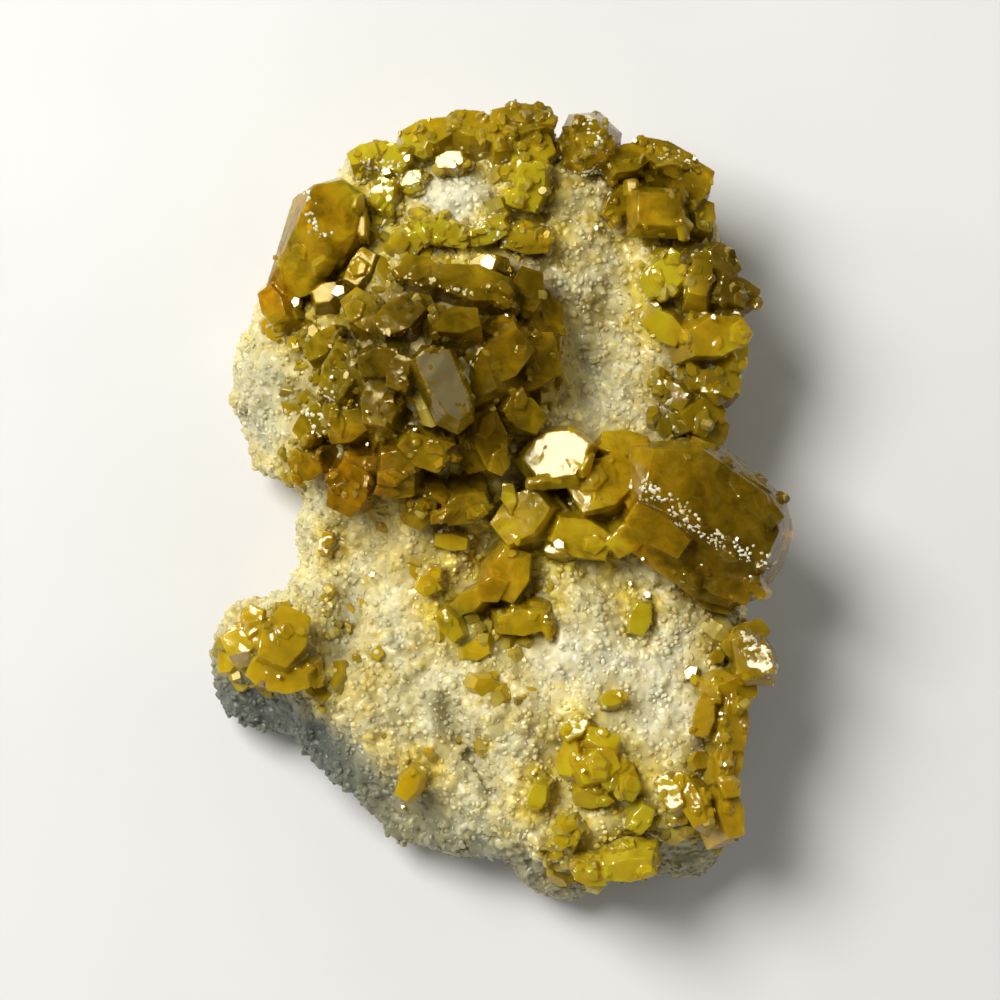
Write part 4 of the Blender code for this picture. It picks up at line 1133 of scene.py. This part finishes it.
class SPECIMEN_OT_rock(bpy.types.Operator):
    """Build the rock's skin over its solid"""

    bl_idname = "specimen.rock"
    bl_label = "Rock"

    def execute(self, context):
        sizes = context.scene.specimen
        rock = object_of("rock_skin", rock_mesh(), smooth=True)
        points = mesh_points(rock.data)
        points[:, 2] -= FURROW_DEPTH * furrows(points) * (points[:, 2] > 5)
        move_points(rock.data, points)
        shapes = grain_shapes()
        tree = scatter_tree("fused_grains", shapes)
        centres, normals = mesh_points(rock.data, "polygons"), face_normals(rock.data)
        cover = ((normals[:, 2] > -0.9) & (centres[:, 2] > LOWEST_GRAIN)).astype(float)
        lumps = np.clip(1.0 + 0.9 * noise_at(centres, 3.0), 0.6, 1.6)
        surface = ground_surface("rock_host", cover, lumps)
        layers = [rock]
        for layer in (LARGE_GRAINS._replace(spacing=sizes.grain_spacing / MM), SMALL_GRAINS):
            layer = resized(layer, sizes.grain_size / MM)
            layers.append(scattered("rock_grains", surface, tree, layer, len(layers)))
        remove(surface, *shapes)
        rock = fused(join("rock_skin", layers), 0.17, ROCK_KEPT, 35)
        tint_ground(rock.data)
        tone = np.clip(0.5 + 0.9 * noise_at(mesh_points(rock.data), 0.6), 0, 1)
        set_attribute(rock.data, "tone", tone, "POINT")
        finish_piece(rock, bpy.data.materials["drusy_rock"], "pale_druse", "rock")
        return {"FINISHED"}


class SPECIMEN_OT_druse(bpy.types.Operator):
    """Scatter loose druse grains over the rock's front and sides"""

    bl_idname = "specimen.druse"
    bl_label = "Druse"

    def execute(self, context):
        sizes = context.scene.specimen
        shapes = grain_shapes()
        tree = scatter_tree("druse_grains", shapes)
        mesh = bpy.data.objects["rock_skin"].data
        centres, normals = mesh_points(mesh, "polygons"), face_normals(mesh)
        bare = covered_ground(mesh) | (normals[:, 2] < -0.5)
        x, y, radius = ROSETTE_FOOT
        bare |= (centres[:, 2] < 0.8) | (np.hypot(centres[:, 0] - x, centres[:, 1] - y) < radius)
        upper = centres[:, 1] >= UPPER_FROM
        for number, (name, region) in enumerate((("druse_upper", upper), ("druse_lower", ~upper))):
            cover = (region & ~bare).astype(float)
            surface = ground_surface(name + "_host", cover, np.ones(len(cover)))
            druse = scattered(name, surface, tree, resized(LOOSE_GRAINS, sizes.grain_size / MM), 7 * number)
            remove(surface)
            finish_piece(druse, bpy.data.materials["druse"], "pale_druse")
        remove(*shapes)
        return {"FINISHED"}


class SPECIMEN_OT_crust(bpy.types.Operator):
    """Grow small golden crystals over the stained ground"""

    bl_idname = "specimen.crust"
    bl_label = "Golden crust"

    def execute(self, context):
        shapes = growth_shapes()
        tree = scatter_tree("crust_crystals", shapes)
        mesh = bpy.data.objects["rock_skin"].data
        centres, normals = mesh_points(mesh, "polygons"), face_normals(mesh)
        golden = strongest(centres, GOLDEN_GROUND) - strongest(centres, PALE_GROUND)
        golden += 0.45 * noise_at(centres, 2.2)
        cover = np.clip(2.5 * (golden - 0.36), 0, 1)
        cover[covered_ground(mesh) | (centres[:, 2] < LOWEST_CRUST)] = 0.0
        surface = ground_surface("golden_crust_host", cover, np.ones(len(cover)))
        layers = []
        for layer in CRUST:
            layers.append(scattered("golden_crust_layer", surface, tree, layer, 31 + len(layers)))
        remove(surface, *shapes)
        finish_piece(join("golden_crust", layers), bpy.data.materials["crust_barite"], "golden_barite")
        return {"FINISHED"}


class SPECIMEN_OT_crystals(bpy.types.Operator):
    """Grow every group of crystals over its solid"""

    bl_idname = "specimen.crystals"
    bl_label = "Crystals"

    def execute(self, context):
        sizes = context.scene.specimen
        plate, bud = growth_shapes()
        plates = scatter_tree("growth_plates", [plate])
        buds = scatter_tree("growth_buds", [bud])
        skins = []
        for node in sorted(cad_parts):
            if node == "rock":
                continue
            group = GROUPS.get(node, SINGLE_CRYSTAL)
            skins.append(build_crystals(node, group, plates, buds, sizes))
        remove(plate, bud)
        rock = bpy.data.objects["rock_skin"]
        tree, ground = tree_of(skins + [rock]), tree_of([rock])
        # paints shade into each skin where its neighbours hide the sky
        for skin in skins:
            note_painted_shade(skin.data, tree, ground)
        return {"FINISHED"}


def grown_on_crystals(name, tree, cover_of, seed, layer):
    """What the tree scatters over the skins of all the crystals, where cover_of lets it, as one object."""
    parts = []
    for node in sorted(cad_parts):
        if node == "rock":
            continue
        surface = bpy.data.objects.new(name + "_host", bpy.data.objects[node + "_skin"].data.copy())
        centres, normals = mesh_points(surface.data, "polygons"), face_normals(surface.data)
        cover = cover_of(node, centres, normals)
        if cover.max() > 0:
            set_attribute(surface.data, "cover", cover)
            set_attribute(surface.data, "size", np.ones(len(cover)))
            parts.append(scattered(name + "_part", surface, tree, layer, seed + len(parts)))
        remove(surface)
    return join(name, parts)


class SPECIMEN_OT_frost(bpy.types.Operator):
    """Frost the crystals with small crystals of their own kind"""

    bl_idname = "specimen.frost"
    bl_label = "Frost"

    def execute(self, context):
        shapes = growth_shapes()
        tree = scatter_tree("frost_crystals", shapes)

        def cover_of(node, centres, normals):
            share = GROUPS.get(node, SINGLE_CRYSTAL).frost
            patchy = np.clip(3 * (share - 0.5 + noise_at(centres, 1.8)), 0, 1)
            patchy[normals[:, 2] < 0.05] = 0.0
            return patchy * away_from_clear_faces(centres, normals)

        frost = grown_on_crystals("golden_frost", tree, cover_of, 41, FROST)
        remove(*shapes)
        finish_piece(frost, bpy.data.materials["crust_barite"], "golden_barite")
        return {"FINISHED"}


class SPECIMEN_OT_collars(bpy.types.Operator):
    """Let the druse creep up the feet of the clear crystals"""

    bl_idname = "specimen.collars"
    bl_label = "Collars"

    def execute(self, context):
        shapes = grain_shapes()
        tree = scatter_tree("collar_grains", shapes)

        def cover_of(node, centres, normals):
            mesh = bpy.data.objects[node + "_skin"].data
            foot = np.array([item.value for item in mesh.attributes["foot"].data])
            near = np.array([foot[polygon.vertices[0]] for polygon in mesh.polygons])
            collared = GROUPS.get(node, SINGLE_CRYSTAL).finish in COLLARED
            patchy = 1.4 + 1.2 * noise_at(centres, 1.3)
            return np.clip(near * patchy - 0.5, 0, 1) * collared * (normals[:, 2] > -0.2)

        grains = grown_on_crystals("druse_collars", tree, cover_of, 17, COLLAR)
        remove(*shapes)
        set_attribute(grains.data, "golden", np.full(len(grains.data.vertices), 0.35), "POINT")
        finish_piece(grains, bpy.data.materials["druse"], "pale_druse")
        return {"FINISHED"}


class SPECIMEN_OT_bright_tablets(bpy.types.Operator):
    """Set the small clear tablets into the druse and the crystals"""

    bl_idname = "specimen.bright_tablets"
    bl_label = "Bright tablets"

    def execute(self, context):
        tree = tree_of(bpy.data.objects[node + "_skin"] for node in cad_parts)
        shape, bud = growth_shapes()
        lean = Vector(BRIGHT_LEAN).to_track_quat("Z", "Y").to_matrix().to_4x4()
        bm = bmesh.new()
        for number, (x, y, length) in enumerate(BRIGHT_TABLETS):
            above = Vector((x - MIDDLE[0], y - MIDDLE[1], 50)) * MM
            place, _, _, _ = tree.ray_cast(above, Vector((0, 0, -1)))
            if place is None:
                raise RuntimeError(f"nothing carries the bright tablet at {x}, {y}")
            turn = Matrix.Rotation(1.3 * number, 4, "Z")
            raised = Vector((0, 0, TABLET_RAISED * MM))
            size = Matrix.Diagonal((length, length, TABLET_HEIGHT, 1))
            placing = Matrix.Translation(place + raised) @ lean @ turn @ size
            before = len(bm.verts)
            bm.from_mesh(shape.data)
            bm.verts.ensure_lookup_table()
            bmesh.ops.transform(bm, matrix=placing, verts=bm.verts[before:])
        mesh = bpy.data.meshes.new("bright_tablets")
        bm.to_mesh(mesh)
        bm.free()
        tablets = new_object("bright_tablets", mesh)
        shade_crystal(mesh)
        remove(shape, bud)
        finish_piece(tablets, bpy.data.materials["bright_barite"], "golden_barite")
        return {"FINISHED"}


class SPECIMEN_OT_dust_and_glint(bpy.types.Operator):
    """Dust the crystals with pale grains along their broken ridges, which also stand in for painted glints"""

    bl_idname = "specimen.dusting"
    bl_label = "Dusting"

    def execute(self, context):
        shapes = grain_shapes()
        tree = scatter_tree("dusting_grains", shapes)

        def cover_of(node, centres, normals):
            uneven = 1.0 + 0.8 * noise_at(centres, 2.0)
            cover = np.zeros(len(centres))
            for x0, y0, x1, y1, breadth in DUST_AND_GLINT_LINES:
                away = segment_distance(centres[:, :2], (x0, y0), (x1, y1))
                cover = np.maximum(cover, np.clip(1.2 - away / (breadth * uneven), 0, 1))
            cover *= np.clip(2.6 * (noise_at(centres, 0.7) + 0.32), 0, 1)
            cover[normals[:, 2] < 0.1] = 0.0
            return cover

        dusting = grown_on_crystals("pale_dusting", tree, cover_of, 3, DUST_AND_GLINT_GRAINS)
        remove(*shapes)
        fused(dusting, 0.05, 0.4, 30)
        set_attribute(dusting.data, "tone", np.full(len(dusting.data.polygons), 0.7))
        finish_piece(dusting, bpy.data.materials["dusting"], "pale_druse")
        return {"FINISHED"}


class SPECIMEN_OT_stage(bpy.types.Operator):
    """Set up the floor, the lights and the camera"""

    bl_idname = "specimen.stage"
    bl_label = "Stage"

    def execute(self, context):
        scene = context.scene
        bm = bmesh.new()
        bmesh.ops.create_grid(bm, x_segments=1, y_segments=1, size=600.0)
        floor = object_of("floor", bm)
        material, t, shader, _ = new_material("pale_floor")
        place = t.add("ShaderNodeTexCoord").outputs["Object"]
        speck = t.add("ShaderNodeTexNoise", Vector=place, Scale=60.0, Detail=4.0)
        t.feed(shader.inputs["Base Color"], ranged(t, speck.outputs[0], 0.0, 1.0, *FLOOR_SHADES))
        shader.inputs["Roughness"].default_value = 0.8
        floor.data.materials.append(material)

        world = bpy.data.worlds.new("soft_room")
        world.use_nodes = True
        t = Tree(world.node_tree)
        background = world.node_tree.nodes["Background"]
        background.inputs[0].default_value = (*LAMP_COLOUR, 1)
        upward = t.add("ShaderNodeSeparateXYZ", Vector=t.add("ShaderNodeTexCoord").outputs["Generated"])
        t.feed(background.inputs[1], ranged(t, upward.outputs["Z"], 0.3, 0.75, 0.5, 0.06))
        scene.world = world
        world.cycles_visibility.glossy = False
        scene.cycles.max_bounces = 8
        scene.cycles.transmission_bounces = 8
        scene.cycles.caustics_reflective = False
        scene.cycles.caustics_refractive = False
        scene.view_settings.view_transform = "Standard"

        aim = Vector(AIM) * MM
        for name, direction, distance, size, power in LAMPS:
            light = bpy.data.lights.new(name, "AREA")
            light.size = size
            light.energy = power
            light.color = LAMP_COLOUR
            lamp = new_object(name, light)
            towards = Vector(direction).normalized()
            lamp.location = aim + towards * distance
            lamp.rotation_euler = (-towards).to_track_quat("-Z", "Y").to_euler()
            lamp.visible_glossy = name == "key_softbox"

        camera = bpy.data.cameras.new("camera")
        camera.lens = LENS
        camera.sensor_width = 36.0
        camera.clip_start = 0.01
        eye = new_object("camera", camera)
        height = math.radians(CAMERA_UP)
        back = Vector((0, -math.cos(height), math.sin(height)))
        eye.location = aim + back * CAMERA_AWAY
        eye.rotation_euler = (-back).to_track_quat("-Z", "Y").to_euler()
        scene.camera = eye
        return {"FINISHED"}


class SPECIMEN_PT_panel(bpy.types.Panel):
    """Lists the specimen's sizes and its building steps"""

    bl_label = "Barite specimen"
    bl_idname = "SPECIMEN_PT_panel"
    bl_space_type = "VIEW_3D"
    bl_region_type = "UI"
    bl_category = "Specimen"

    def draw(self, context):
        for name in SpecimenSizes.__annotations__:
            self.layout.prop(context.scene.specimen, name)
        for step in STEPS:
            self.layout.operator(step.bl_idname)


STEPS = (
    SPECIMEN_OT_finishes,
    SPECIMEN_OT_rock,
    SPECIMEN_OT_druse,
    SPECIMEN_OT_crust,
    SPECIMEN_OT_crystals,
    SPECIMEN_OT_frost,
    SPECIMEN_OT_collars,
    SPECIMEN_OT_bright_tablets,
    SPECIMEN_OT_dust_and_glint,
    SPECIMEN_OT_stage,
)
CLASSES = (SpecimenSizes, *STEPS, SPECIMEN_PT_panel)


def register():
    for cls in CLASSES:
        bpy.utils.register_class(cls)
    bpy.types.Scene.specimen = bpy.props.PointerProperty(type=SpecimenSizes)


def unregister():
    del bpy.types.Scene.specimen
    for cls in reversed(CLASSES):
        bpy.utils.unregister_class(cls)


def main():
    register()
    for step in STEPS:
        operator(step.bl_idname.split(".")[1])()


if __name__ == "__main__":
    main()
